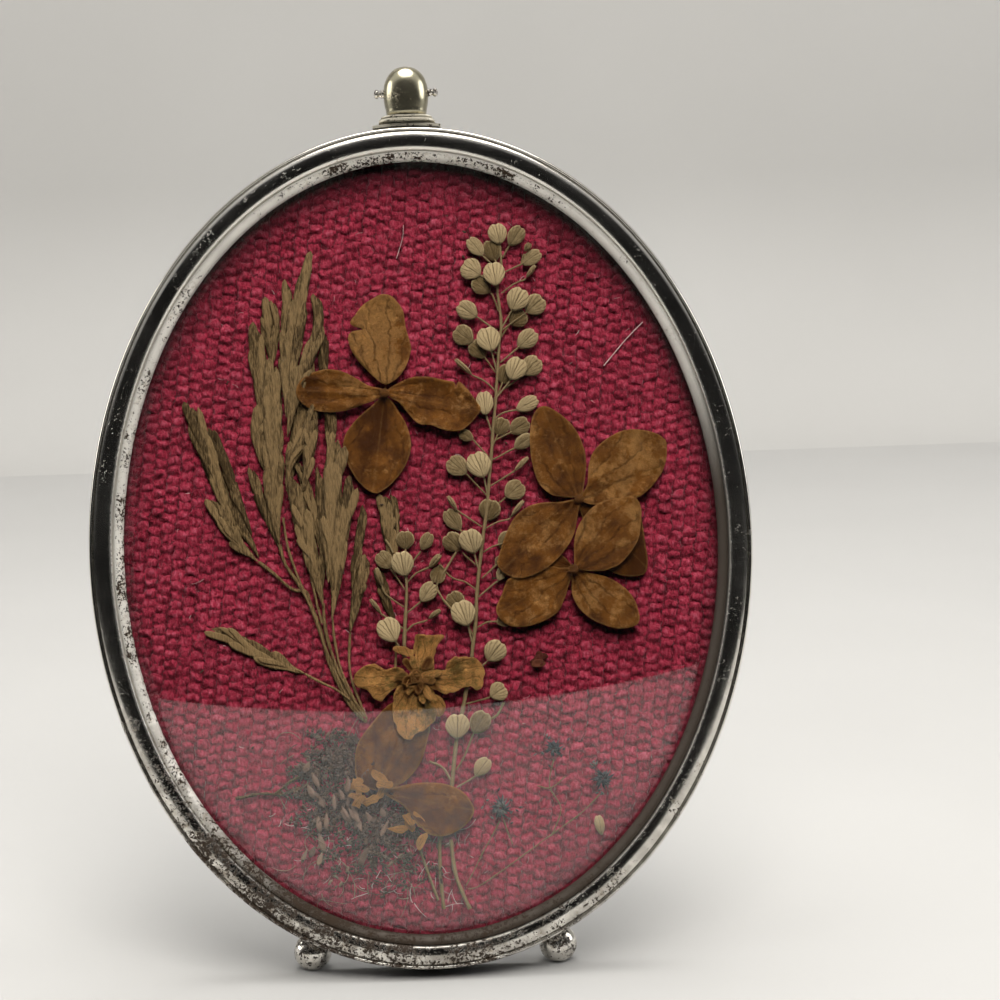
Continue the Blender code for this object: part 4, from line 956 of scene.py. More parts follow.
def finish(name):
    """One of the finishes, made the first time that it is asked for."""
    if name not in FINISHES:
        own = settings("flower_plants")
        makers = {
            "silver": lambda: silver_plate("worn_silver_plate"),
            "silver_small": lambda: silver_plate("worn_silver_fittings", 0.80),
            "silver_dome": lambda: silver_plate("tinted_silver_dome", 0.40, 0.05, (0.50, 0.48, 0.37)),
            "silver_dull": lambda: silver_plate("dull_silver_saddle", 0.75, 0.30, (0.80, 0.78, 0.70)),
            "brass": lambda: aged_brass("aged_brass_finish"),
            "glass": lambda: clear_glass("clear_glass_finish"),
            "card": lambda: grey_card("grey_card_finish"),
            "cloth": lambda: crimson_cloth("crimson_weave_finish"),
            "petal": lambda: leafy("dried_hydrangea", own.petal_dark, own.petal, own.petal_pale),
            "yellow": lambda: leafy("dried_yellow_petal", shade(own.petal_dark, 1.2), own.yellow,
                                    shade(own.petal_pale, 1.15), 1.4),
            "flake": lambda: papery("dark_leaf_flake", (0.070, 0.016, 0.010), (0.200, 0.075, 0.035)),
            "pod": lambda: podded("papery_pod", own.pod_dark, own.pod),
            "stem": lambda: papery("dry_stem", shade(own.pod_dark, 1.1), shade(own.pod, 0.66)),
            "grass": lambda: grassy("dry_grass_scale", own.grass_dark, own.grass),
            "moss": lambda: papery("dark_tuft", shade(own.moss, 0.40), shade(own.moss, 1.9)),
            "blue": lambda: papery("blue_black_head", shade(own.blue, 0.35), (0.20, 0.19, 0.17)),
            "fibre": lambda: papery("pale_fibre", (0.30, 0.16, 0.17), (0.72, 0.52, 0.50)),
        }
        FINISHES[name] = makers[name]()
    return FINISHES[name]


# ---------------------------------------------------------- frame and fittings

# The moulding's section, as (distance out from the sight edge, height), in smooth runs
LIP_RUN = [(5.20, -1.35), (5.18, -0.90), (5.06, -0.50), (4.90, -0.30), (4.72, -0.30), (4.60, -0.46)]
ROLL_RUN = [(4.53, -0.58), (4.42, -0.46), (4.20, -0.32), (3.70, -0.12), (2.95, 0.00), (2.25, -0.08),
            (1.78, -0.28), (1.62, -0.52)]
SLOPE_RUN = [(1.55, -0.66), (1.45, -0.52), (1.24, -0.48), (0.88, -0.58), (0.50, -0.84), (0.18, -1.20),
             (0.02, -1.62)]
BACK_RUN = [(0.15, -2.05), (4.60, -2.05), (4.60, -7.00), (5.20, -7.00)]


def moulding():
    """The pressed oval moulding, with its lip, groove, roll and inner slope."""
    own = settings("flower_frame")
    section = []
    for run in (LIP_RUN, ROLL_RUN, SLOPE_RUN):
        section += [tuple(p) for p in rounded(run, step=0.13)]
    section += BACK_RUN
    section.insert(0, (5.20, -3.6))
    heap = Heap()
    steps = own.turns
    points = []
    inner = []
    for k in range(steps):
        angle = 2 * math.pi * k / steps
        dent = 0.06 * math.sin(3 * angle + 0.7) + 0.035 * math.sin(7 * angle + 2.0)
        for out, height in section:
            reach = out + (dent * 0.3 if out < 4.0 else 0.0)
            points.append(((SIGHT_HALF[0] + reach) * math.cos(angle),
                           (SIGHT_HALF[1] + reach) * math.sin(angle), height))
            inner.append(1.0 - min(1.0, max(0.0, (out - 0.9) / 1.2)))
    count = len(section)
    faces = [(k * count + i, k * count + (i + 1) % count,
              ((k + 1) % steps) * count + (i + 1) % count, ((k + 1) % steps) * count + i)
             for k in range(steps) for i in range(count)]
    heap.add(points, faces)
    item = heap.finish("moulding", finish("silver"))
    layer = item.data.attributes.new("inner", "FLOAT", "POINT")
    layer.data.foreach_set("value", np.array(inner, np.float32))
    wear_tree().run(item, material=finish("silver"), wobble=own.unevenness / MM, wobble_scale=0.16)
    outward_if_needed(item)
    item.data.set_sharp_from_angle(angle=math.radians(48.0))
    return settle(item, "silvered_metal", "rim", under_glass=False)


def wear_tree():
    """Let a finished shape wander a little, as hand-worn metal does."""
    tree = Tree("uneven_wear", dict(FINISH_INPUTS))
    return tree.close(tree.given("Geometry"))


def domed_glass():
    """The domed glass, its two faces a millimetre apart."""
    rings, steps = 44, 144
    flange = [(0.0, 0.0), (1.6, 0.0), (3.6, 0.0)]
    points = []
    faces = []

    def surface(drop):
        sheet = [(0.0, 0.0, GLASS_EDGE + GLASS_RISE - drop)]
        for r in range(1, rings):
            s = r / rings
            sheet += [oval(s, 0.0, k, GLASS_EDGE + GLASS_RISE * (1 - s * s) - drop) for k in range(steps)]
        for out, _ in flange:
            sheet += [oval(1.0, out, k, GLASS_EDGE - drop) for k in range(steps)]
        return sheet

    def oval(s, out, k, height):
        angle = 2 * math.pi * k / steps
        return ((SIGHT_HALF[0] * s + out) * math.cos(angle), (SIGHT_HALF[1] * s + out) * math.sin(angle),
                height)

    loops = rings - 1 + len(flange)
    for side, drop in enumerate((0.0, GLASS_THICKNESS)):
        start = len(points)
        points += surface(drop)
        for k in range(steps):
            nxt = (k + 1) % steps
            fan = (start, start + 1 + k, start + 1 + nxt)
            faces.append(fan if side == 0 else fan[::-1])
            for r in range(loops - 1):
                a, b = start + 1 + r * steps, start + 1 + (r + 1) * steps
                quad = (a + k, b + k, b + nxt, a + nxt)
                faces.append(quad if side == 0 else quad[::-1])
    front = 1 + (loops - 1) * steps
    back = front + 1 + loops * steps
    for k in range(steps):
        nxt = (k + 1) % steps
        faces.append((front + k, back + k, back + nxt, front + nxt))
    heap = Heap()
    heap.add(points, faces)
    item = heap.finish("domed_glass_pane", finish("glass"))
    item.visible_shadow = False
    item.data.set_sharp_from_angle(angle=math.radians(40.0))
    return settle(item, "clear_glass", "glass_dome", under_glass=False)


def woven_cloth():
    """The crimson cloth: every float of its weave is raised, in staggered columns."""
    own = settings("flower_cloth")
    pitch_x, pitch_y, relief = own.pair_pitch / MM, own.float_pitch / MM, own.relief / MM
    stops_x = [(0.0, 0.30), (0.14, 0.70), (0.32, 1.0), (0.5, 0.80), (0.68, 1.0), (0.86, 0.70), (1.0, 0.30)]
    stops_y = [(0.0, 0.0), (0.22, 0.78), (0.5, 1.0), (0.78, 0.78), (1.0, 0.0)]
    mesh = bpy.data.meshes.new("float")
    points = []
    raised = []
    for v, tall in stops_y:
        for u, wide in stops_x:
            level = wide * tall
            points.append(((u - 0.5) * pitch_x, (v - 0.5) * pitch_y, level * relief))
            raised.append(level)
    across = len(stops_x)
    faces = [(r * across + c, r * across + c + 1, (r + 1) * across + c + 1, (r + 1) * across + c)
             for r in range(len(stops_y) - 1) for c in range(across - 1)]
    mesh.from_pydata(points, [], faces)
    layer = mesh.attributes.new("raise", "FLOAT", "POINT")
    layer.data.foreach_set("value", np.array(raised, np.float32))
    item = link("woven_cloth", mesh)
    weave_tree().run(item, pitch_x=pitch_x, pitch_y=pitch_y, half_width=CLOTH_HALF[0] - 1.1,
                     half_height=CLOTH_HALF[1] - 1.1, turn=own.turn, seed=4, drift=0.9,
                     material=finish("cloth"), wobble=1.45, wobble_scale=0.95)
    mesh = item.data
    place = np.empty(3 * len(mesh.vertices), np.float32)
    mesh.vertices.foreach_get("co", place)
    place = place.reshape(-1, 3)
    # Painted shadow of the moulding: a darker band on the cloth near the sight edge, wider at the top.
    away = np.hypot(place[:, 0] / SIGHT_HALF[0], place[:, 1] / SIGHT_HALF[1])
    start = 0.935 - 0.050 * np.clip(place[:, 1] / SIGHT_HALF[1], 0.0, 1.0)
    layer = mesh.attributes.new("covered", "FLOAT", "POINT")
    layer.data.foreach_set("value", np.clip((away - start) / 0.075, 0.0, 1.0).astype(np.float32))
    mesh.transform(Matrix.Translation((0.0, 0.0, CLOTH_VALLEY)))
    settle(item, "crimson_cloth", "cloth", under_glass=True)
    return item


BALL_RADIUS = 2.85
FOOT_X = 18.6
FOOT_DEPTH = -7.2
BALL_CENTRE_RISE = 2.60


def ball_feet():
    """Two turned ball feet, each with a small collar where it is soldered on."""
    for side, label in ((-1, "left"), (1, "right")):
        low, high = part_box("foot_" + label)
        centre = Vector(((low.x + high.x) / 2, (low.y + high.y) / 2, BALL_CENTRE_RISE * MM))
        profile = []
        for k in range(25):
            angle = math.pi * k / 24
            profile.append((BALL_RADIUS * math.sin(angle), -BALL_RADIUS * math.cos(angle)))
        profile = [(r, max(h, -BALL_CENTRE_RISE)) for r, h in profile]
        heap = Heap()
        lathe(heap, profile, 40, (0.0, 0.0, 0.0))
        lathe(heap, [(0.0, 1.9), (1.2, 1.9), (1.45, 2.3), (1.3, 2.8), (0.9, 3.3), (0.7, 4.2), (0.0, 4.2)],
              24, (0.0, 0.0, 0.0))
        item = heap.finish("ball_foot_" + label, finish("silver_small"))
        shape = item.data
        for vertex in shape.vertices:
            push = noise.noise(vertex.co * 0.9 + Vector((side * 5.0, 0.0, 0.0)))
            if vertex.co.z > -BALL_CENTRE_RISE + 0.1:
                vertex.co *= 1.0 + 0.010 * push
        shape.transform(Matrix.Translation(centre) @ Matrix.Scale(MM, 4))
        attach(item, "frame")
        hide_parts("foot_" + label)


def finial():
    """The finial: a saddle of two worn plates, and a tall dome with its pin."""
    low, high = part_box("finial_dome")
    pin_low, pin_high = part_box("finial_pin")
    centre = Vector(((low.x + high.x) / 2, (low.y + high.y) / 2, (low.z + high.z) / 2))
    local = FACE.inverted() @ centre
    base = local.y - 3.72
    dome = Heap()
    run = [(2.75, 0.0), (3.04, 0.30), (3.10, 0.80), (3.22, 1.4), (3.38, 2.4), (3.40, 3.7), (3.16, 5.1),
           (2.55, 6.3), (1.64, 7.12), (0.72, 7.46)]
    profile = [(0.0, 0.0)] + [tuple(p) for p in rounded(run, step=0.3)] + [(0.0, 7.55)]
    lathe(dome, profile, 48, (local.x, base, local.z), axis="Y")
    item = dome.finish("finial_ball", finish("silver_dome"))
    settle(outward(item), "silvered_metal", "finial_dome", under_glass=False)
    saddle = Heap()
    for radius_x, radius_z, bottom, top in ((4.25, 3.15, -1.22, -0.66), (3.9, 2.9, -0.60, -0.18)):
        points = []
        count = 48
        profile = [(0.0, bottom), (0.90, bottom), (1.0, bottom + 0.12), (1.0, top - 0.14), (0.93, top), (0.0, top)]
        for r, h in profile[1:-1]:
            for k in range(count):
                a = 2 * math.pi * k / count
                c, s = math.cos(a), math.sin(a)
                square = (abs(c) ** 3 + abs(s) ** 3) ** (-1 / 3)
                points.append((local.x + radius_x * r * c * square, base + h,
                               local.z + radius_z * r * s * square))
        faces = [tuple(range(count))[::-1], tuple(range(3 * count, 4 * count))]
        faces += [(i * count + k, i * count + (k + 1) % count, (i + 1) * count + (k + 1) % count,
                   (i + 1) * count + k) for i in range(3) for k in range(count)]
        saddle.add(points, faces)
    item = saddle.finish("finial_plates", finish("silver_dull"))
    outward(item)
    item.data.set_sharp_from_angle(angle=math.radians(50.0))
    settle(item, "silvered_metal", "finial_saddle", under_glass=False)
    half = (pin_high.x - pin_low.x) / 2 / MM
    middle = FACE.inverted() @ ((pin_low + pin_high) / 2)
    run = [(0.0, -half), (0.42, -half + 0.05), (0.66, -half + 0.25), (0.70, -half + 0.55), (0.42, -half + 0.72),
           (0.44, -half + 0.86), (0.62, -half + 1.0), (0.60, 0.0), (0.62, half - 1.15), (0.46, half - 0.95),
           (0.44, half - 0.78), (0.68, half - 0.6), (0.62, half - 0.2), (0.36, half - 0.02), (0.0, half)]
    pin = Heap()
    lathe(pin, run, 20, tuple(middle), axis="X")
    item = pin.finish("finial_cross_pin", finish("silver_small"))
    settle(outward(item), "silvered_metal", "finial_pin", under_glass=False)


CARRIED = {"silver_dull": ["finial_strap"],
           "brass": ["back_plate", "back_tab_1", "back_tab_2", "back_tab_3", "back_tab_4", "strut_bracket",
                     "bracket_rivet_left", "bracket_rivet_right", "strut_pin", "strut_leg"],
           "card": ["mount_card"]}


def carried_fittings():
    """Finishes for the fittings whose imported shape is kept."""
    for name, nodes in CARRIED.items():
        for node in nodes:
            item = frame["nodes"][node]
            item.data.materials.clear()
            item.data.materials.append(finish(name))


# -------------------------------------------------------------------- plants

LAYER = {0: -3.22, 1: -2.85, 2: -2.50, 3: -2.15, 4: -1.75}

LEFT_UP = [(-4.9, 24.6), (-7.3, 26.8), (-9.0, 29.0), (-9.75, 31.0), (-9.45, 32.4), (-7.6, 32.85),
           (-8.9, 33.3), (-9.45, 33.9), (-8.6, 35.0), (-7.5, 36.4), (-5.8, 37.4), (-4.8, 37.9), (-3.3, 37.7),
           (-2.2, 36.6), (-1.4, 35.2), (-1.15, 33.0), (-0.6, 30.8), (-0.45, 29.6), (-1.0, 27.7), (-2.0, 26.0),
           (-3.6, 24.7)]
LEFT_LEFT = [(-17.8, 24.0), (-16.9, 25.6), (-15.2, 26.6), (-13.2, 26.9), (-11.0, 26.6), (-9.0, 25.6),
             (-7.0, 24.3), (-5.0, 23.7), (-5.2, 22.6), (-8.0, 21.5), (-10.5, 20.7), (-13.5, 20.6),
             (-15.8, 21.2), (-17.4, 22.6)]
LEFT_RIGHT = [(-4.2, 23.6), (-2.3, 24.7), (-0.4, 25.3), (2.0, 25.3), (4.5, 24.7), (5.8, 24.4), (6.1, 23.5),
              (6.5, 24.4), (7.6, 23.5), (8.7, 22.0), (9.7, 20.4), (9.3, 19.5), (8.0, 18.1), (6.4, 17.1),
              (4.2, 17.3), (2.2, 18.1), (0.3, 18.4), (-1.2, 20.0), (-2.6, 21.7), (-4.0, 22.6)]
LEFT_DOWN = [(-5.0, 22.6), (-7.0, 21.0), (-9.0, 19.3), (-10.6, 17.3), (-11.1, 15.2), (-10.3, 12.4),
             (-8.9, 9.9), (-6.7, 8.2), (-4.9, 8.9), (-3.0, 10.6), (-1.5, 13.0), (-0.95, 15.5), (-1.5, 18.2),
             (-2.6, 20.3), (-4.0, 22.4)]
UPPER_LEFT = [(23.6, 6.5), (20.2, 6.9), (18.2, 8.6), (17.3, 11.0), (16.9, 14.0), (17.0, 17.0), (17.7, 19.4),
              (18.8, 20.3), (20.2, 20.0), (22.3, 18.4), (23.9, 16.4), (24.8, 14.2), (25.1, 11.6),
              (24.9, 9.3), (24.4, 7.0)]
UPPER_RIGHT = [(24.1, 6.4), (25.2, 8.3), (25.6, 11.4), (26.6, 13.6), (28.8, 15.4), (31.2, 16.3),
               (33.4, 16.3), (35.8, 15.7), (36.9, 14.9), (37.3, 14.3), (37.2, 12.0), (36.7, 10.3),
               (35.9, 9.1), (34.6, 7.5), (32.6, 6.1), (30.4, 6.1), (28.0, 5.6), (26.6, 5.3), (25.0, 5.6)]
UPPER_LOW_LEFT = [(23.7, 6.2), (21.2, 5.9), (18.5, 5.9), (16.3, 5.4), (14.3, 3.9), (12.8, 1.3),
                  (11.6, -2.0), (11.5, -3.4), (12.9, -4.8), (14.6, -5.3), (16.6, -4.9), (19.0, -3.7),
                  (21.3, -1.6), (22.9, 0.9), (23.5, 3.4), (24.0, 5.5)]
UPPER_LOW_RIGHT = [(24.0, 6.2), (27.0, 6.2), (32.2, 6.3), (33.1, 3.5), (33.6, -0.5), (33.9, -3.3),
                   (33.4, -5.2), (31.5, -5.6), (28.8, -5.0), (26.8, -3.0), (24.8, 2.0)]
LOWER_TOP = [(22.9, -4.0), (22.9, -2.0), (23.0, 0.2), (23.8, 2.4), (25.5, 4.6), (27.6, 5.8), (30.0, 6.2),
             (32.2, 6.2), (33.1, 4.6), (33.0, 2.5), (32.6, 0.2), (31.3, -2.0), (29.7, -3.6), (27.6, -4.5),
             (25.3, -4.6), (23.4, -4.3)]
LOWER_RIGHT = [(22.7, -4.2), (22.4, -6.4), (22.6, -8.6), (24.0, -10.8), (26.4, -12.4), (28.9, -13.3),
               (31.3, -13.1), (32.3, -12.2), (32.0, -10.0), (30.9, -8.0), (29.0, -6.3), (27.0, -5.3),
               (25.0, -4.8)]
LOWER_LEFT = [(22.6, -4.3), (20.6, -3.9), (19.2, -3.7), (16.4, -4.6), (14.6, -5.0), (12.9, -5.4),
              (11.9, -7.6), (11.0, -9.6), (11.3, -11.0), (12.4, -12.1), (14.4, -12.6), (17.2, -12.1),
              (20.0, -10.7), (21.2, -8.6), (21.9, -6.6)]
LOWER_HIDDEN = [(22.6, -4.0), (20.5, -1.5), (17.5, 0.6), (14.5, 0.4), (12.9, -2.2), (13.4, -4.6),
                (16.5, -5.6), (20.0, -5.0)]
BOTTOM_LARGE = [(-5.5, -23.5), (-8.0, -26.0), (-10.2, -28.8), (-10.9, -31.5), (-10.6, -34.5), (-8.5, -36.0),
                (-6.0, -36.2), (-3.0, -34.6), (-1.0, -32.0), (0.0, -29.0), (0.5, -26.5), (-0.5, -24.0),
                (-2.5, -22.7)]
BOTTOM_SMALL = [(-6.8, -36.5), (-4.5, -35.7), (-1.0, -35.3), (2.5, -35.6), (5.0, -36.8), (6.4, -38.7),
                (6.5, -40.2), (5.0, -42.0), (2.5, -43.2), (0.0, -43.0), (-2.0, -41.0), (-4.0, -38.5)]


def floret_heart(heap, x, y, z, seed):
    """The dry heart of a floret: a small knob among a few threads."""
    rng = random.Random(seed)
    ball = [(0.0, -0.35)] + [(0.62 * math.sin(math.pi * k / 8), -0.35 * math.cos(math.pi * k / 8))
                             for k in range(1, 8)] + [(0.0, 0.35)]
    lathe(heap, [(r, h) for r, h in ball], 12, (x, y, z + 0.25), tone=0.15)
    for k in range(5):
        turn = 2 * math.pi * k / 5 + rng.uniform(-0.3, 0.3)
        dx, dy = math.cos(turn), math.sin(turn)
        near, far = 0.35, rng.uniform(1.0, 1.5)
        w = 0.13
        points = [(x + dx * near - dy * w, y + dy * near + dx * w, z + 0.30),
                  (x + dx * near + dy * w, y + dy * near - dx * w, z + 0.30),
                  (x + dx * far, y + dy * far, z + 0.40), (x + dx * near, y + dy * near, z + 0.52)]
        heap.add(points, [(0, 1, 3), (1, 2, 3), (2, 0, 3), (0, 2, 1)], tone=0.25)


def florets():
    """The four hydrangea florets."""
    base = LAYER[3]
    heap = Heap()
    centre = (-4.6, 23.1)
    petal(heap, LEFT_DOWN, centre, (-6.9, 8.2), base, 11, 0.22, tone=0.24, curl=0.35)
    petal(heap, LEFT_UP, centre, (-5.0, 37.9), base + 0.25, 12, 0.24, tone=0.60, curl=0.40, cup=0.15)
    petal(heap, LEFT_RIGHT, centre, (9.5, 20.0), base + 0.30, 13, 0.34, tone=0.42, curl=0.55, folds=(2, 0.16),
          crease=((-1.0, 24.0), (7.0, 21.6), -0.30, 1.6))
    petal(heap, LEFT_LEFT, centre, (-17.8, 24.0), base + 0.40, 14, 0.18, tone=0.50, curl=0.45, folds=(7, 0.24))
    floret_heart(heap, *centre, base + 0.45, 1)
    settle(heap.finish("hydrangea_left_petals", finish("petal"), 0.13), "brown_petals", "hydrangea_left")
    heap = Heap()
    centre = (23.9, 6.2)
    petal(heap, UPPER_LOW_RIGHT, centre, (33.4, -4.0), base - 0.25, 21, 0.10, tone=0.05, curl=0.10)
    petal(heap, UPPER_LEFT, centre, (18.9, 20.4), base + 0.15, 22, 0.22, tone=0.38, curl=0.45, folds=(2, 0.10))
    petal(heap, UPPER_RIGHT, centre, (36.9, 13.6), base + 0.25, 23, 0.20, tone=0.50, curl=0.30,
          crease=((25.5, 7.0), (36.5, 10.0), -0.30, 1.2))
    petal(heap, UPPER_LOW_LEFT, centre, (12.2, -3.8), base + 0.55, 24, 0.22, tone=0.42, curl=0.30)
    floret_heart(heap, *centre, base + 0.55, 2)
    settle(heap.finish("hydrangea_upper_petals", finish("petal"), 0.13), "brown_petals",
           "hydrangea_upper_right")
    heap = Heap()
    centre = (22.7, -4.2)
    petal(heap, LOWER_HIDDEN, centre, (13.2, -1.5), base + 0.15, 31, 0.05, tone=0.20, curl=0.05)
    petal(heap, LOWER_LEFT, centre, (11.2, -10.4), base + 0.30, 32, 0.24, tone=0.40, curl=0.35)
    petal(heap, LOWER_RIGHT, centre, (31.6, -12.8), base + 0.40, 33, 0.20, tone=0.40, curl=0.40, folds=(2, 0.08))
    petal(heap, LOWER_TOP, centre, (32.4, 5.6), base + 0.80, 34, 0.20, tone=0.45, curl=0.35)
    floret_heart(heap, *centre, base + 0.85, 3)
    settle(heap.finish("hydrangea_lower_petals", finish("petal"), 0.13), "brown_petals",
           "hydrangea_lower_right")
    heap = Heap()
    petal(heap, BOTTOM_LARGE, (-7.5, -36.3), (-1.6, -23.0), base + 0.10, 41, 0.26, tone=0.28, curl=0.35,
          crease=((-5.8, -25.0), (-7.4, -32.5), 0.22, 0.7))
    petal(heap, BOTTOM_SMALL, (-7.5, -36.5), (6.4, -39.6), base + 0.30, 42, 0.26, tone=0.24, curl=0.40)
    crumple(heap, (-8.4, -36.0), (2.6, 1.9), 9, base + 0.25, 43, 1.5, 0.85)
    crumple(heap, (-2.6, -41.6), (2.2, 2.2), 5, base + 0.05, 44, 1.6, 0.95)
    settle(heap.finish("hydrangea_low_petals", finish("petal"), 0.13), "brown_petals", "hydrangea_low")


def crumple(heap, centre, spread, count, lift, seed, size, tone):
    """A few small torn and curled scraps, heaped together."""
    rng = random.Random(seed)
    for k in range(count):
        x = centre[0] + rng.uniform(-1, 1) * spread[0]
        y = centre[1] + rng.uniform(-1, 1) * spread[1]
        turn = rng.uniform(0, 2 * math.pi)
        outline = []
        for j in range(9):
            angle = 2 * math.pi * j / 9
            radius = size * rng.uniform(0.55, 1.15) * (0.55 + 0.45 * abs(math.cos(angle)))
            px, py = radius * math.cos(angle), 0.62 * radius * math.sin(angle)
            outline.append((x + px * math.cos(turn) - py * math.sin(turn),
                            y + px * math.sin(turn) + py * math.cos(turn)))
        tip = (x + size * math.cos(turn), y + size * math.sin(turn))
        petal(heap, outline, (2 * x - tip[0], 2 * y - tip[1]), tip, lift + 0.10 * k, seed * 31 + k, 0.40,
              curl=0.8, tone=min(1.0, max(0.0, tone + rng.uniform(-0.25, 0.2))), spacing=0.42)


YELLOW = {
    "left": ([(-10.9, -20.0), (-9.5, -17.9), (-7.5, -17.5), (-6.0, -18.2), (-3.4, -18.2), (-3.0, -21.0),
              (-4.9, -21.3), (-7.0, -22.9), (-8.8, -21.2)], (-10.9, -20.0)),
    "top": ([(-1.2, -13.3), (0.5, -13.2), (3.0, -13.4), (2.0, -15.0), (1.4, -16.6), (1.2, -18.6),
             (-1.6, -18.6), (-1.3, -17.0), (-1.3, -15.2)], (1.0, -13.2)),
    "right": ([(-0.6, -18.6), (2.6, -18.7), (3.8, -17.3), (5.2, -16.6), (7.0, -16.8), (8.4, -17.9),
               (8.9, -19.4), (8.0, -21.6), (6.6, -21.2), (5.0, -21.6), (3.0, -22.2), (1.2, -21.2),
               (-0.4, -20.8)], (8.9, -19.4)),
    "bottom": ([(-3.6, -20.6), (-4.8, -22.4), (-5.0, -25.4), (-4.0, -27.9), (-2.6, -28.9), (-1.0, -27.6),
                (1.0, -26.4), (1.6, -24.6), (0.5, -22.8), (0.6, -20.8)], (-2.4, -28.9)),
    "curl": ([(-4.6, -15.2), (-3.2, -14.9), (-1.5, -15.5), (-1.8, -16.2), (-3.4, -16.0)], (-4.6, -15.2)),
    "tail": ([(0.5, -22.2), (2.4, -22.8), (2.7, -24.9), (1.6, -25.3), (0.9, -24.0)], (2.6, -25.1)),
}


def yellow_flower():
    """The crumpled yellow flower with its ruffled heart."""
    heap = Heap()
    heart = (-0.9, -19.7)
    for k, (label, (outline, tip)) in enumerate(YELLOW.items()):
        petal(heap, outline, heart, tip, LAYER[4] + 0.05 * k, 60 + k, 0.50, curl=0.70, folds=(3, 0.20),
              tone=0.62 if label != "bottom" else 0.50, spacing=0.45, ruffle=0.28)
    rng = random.Random(77)
    for k in range(30):
        turn = rng.uniform(0, 2 * math.pi)
        away = rng.uniform(0.2, 2.7)
        x, y = heart[0] + away * math.cos(turn), heart[1] + 0.95 * away * math.sin(turn)
        size = rng.uniform(0.7, 1.35)
        outline = []
        for j in range(8):
            angle = 2 * math.pi * j / 8
            radius = size * rng.uniform(0.6, 1.15)
            px, py = radius * math.cos(angle), 0.55 * radius * math.sin(angle)
            outline.append((x + px * math.cos(turn) - py * math.sin(turn),
                            y + px * math.sin(turn) + py * math.cos(turn)))
        petal(heap, outline, heart, (x + math.cos(turn), y + math.sin(turn)),
              LAYER[4] + 0.45 + rng.uniform(0.0, 0.75) * (1.2 - away / 3.0), 700 + k, 0.45, cup=0.25, curl=0.7,
              tone=rng.choice((0.12, 0.3, 0.55, 0.75)), spacing=0.40)
    settle(heap.finish("crumpled_flower_petals", finish("yellow"), 0.11), "yellow_petals", "crumpled_flower")


TALL_STEM = [(13.4, 45.0), (13.5, 42.0), (12.8, 38.5), (13.0, 36.0), (13.2, 33.0), (12.8, 30.0),
             (12.5, 27.0), (12.2, 24.0), (11.8, 20.0), (11.4, 17.0), (11.0, 13.0), (10.6, 10.0),
             (10.2, 6.0), (9.7, 3.0), (9.2, 0.0), (8.6, -4.0), (8.1, -8.0), (7.8, -12.0), (7.3, -15.0),
             (6.9, -18.0), (6.0, -22.0), (5.6, -24.0), (4.4, -29.0), (3.8, -33.0), (3.4, -36.0),
             (2.5, -40.0), (1.4, -44.0)]
SHORT_STEM = [(-2.4, -4.4), (-2.3, -6.0), (-2.6, -10.0), (-2.9, -13.5), (-3.0, -16.5)]
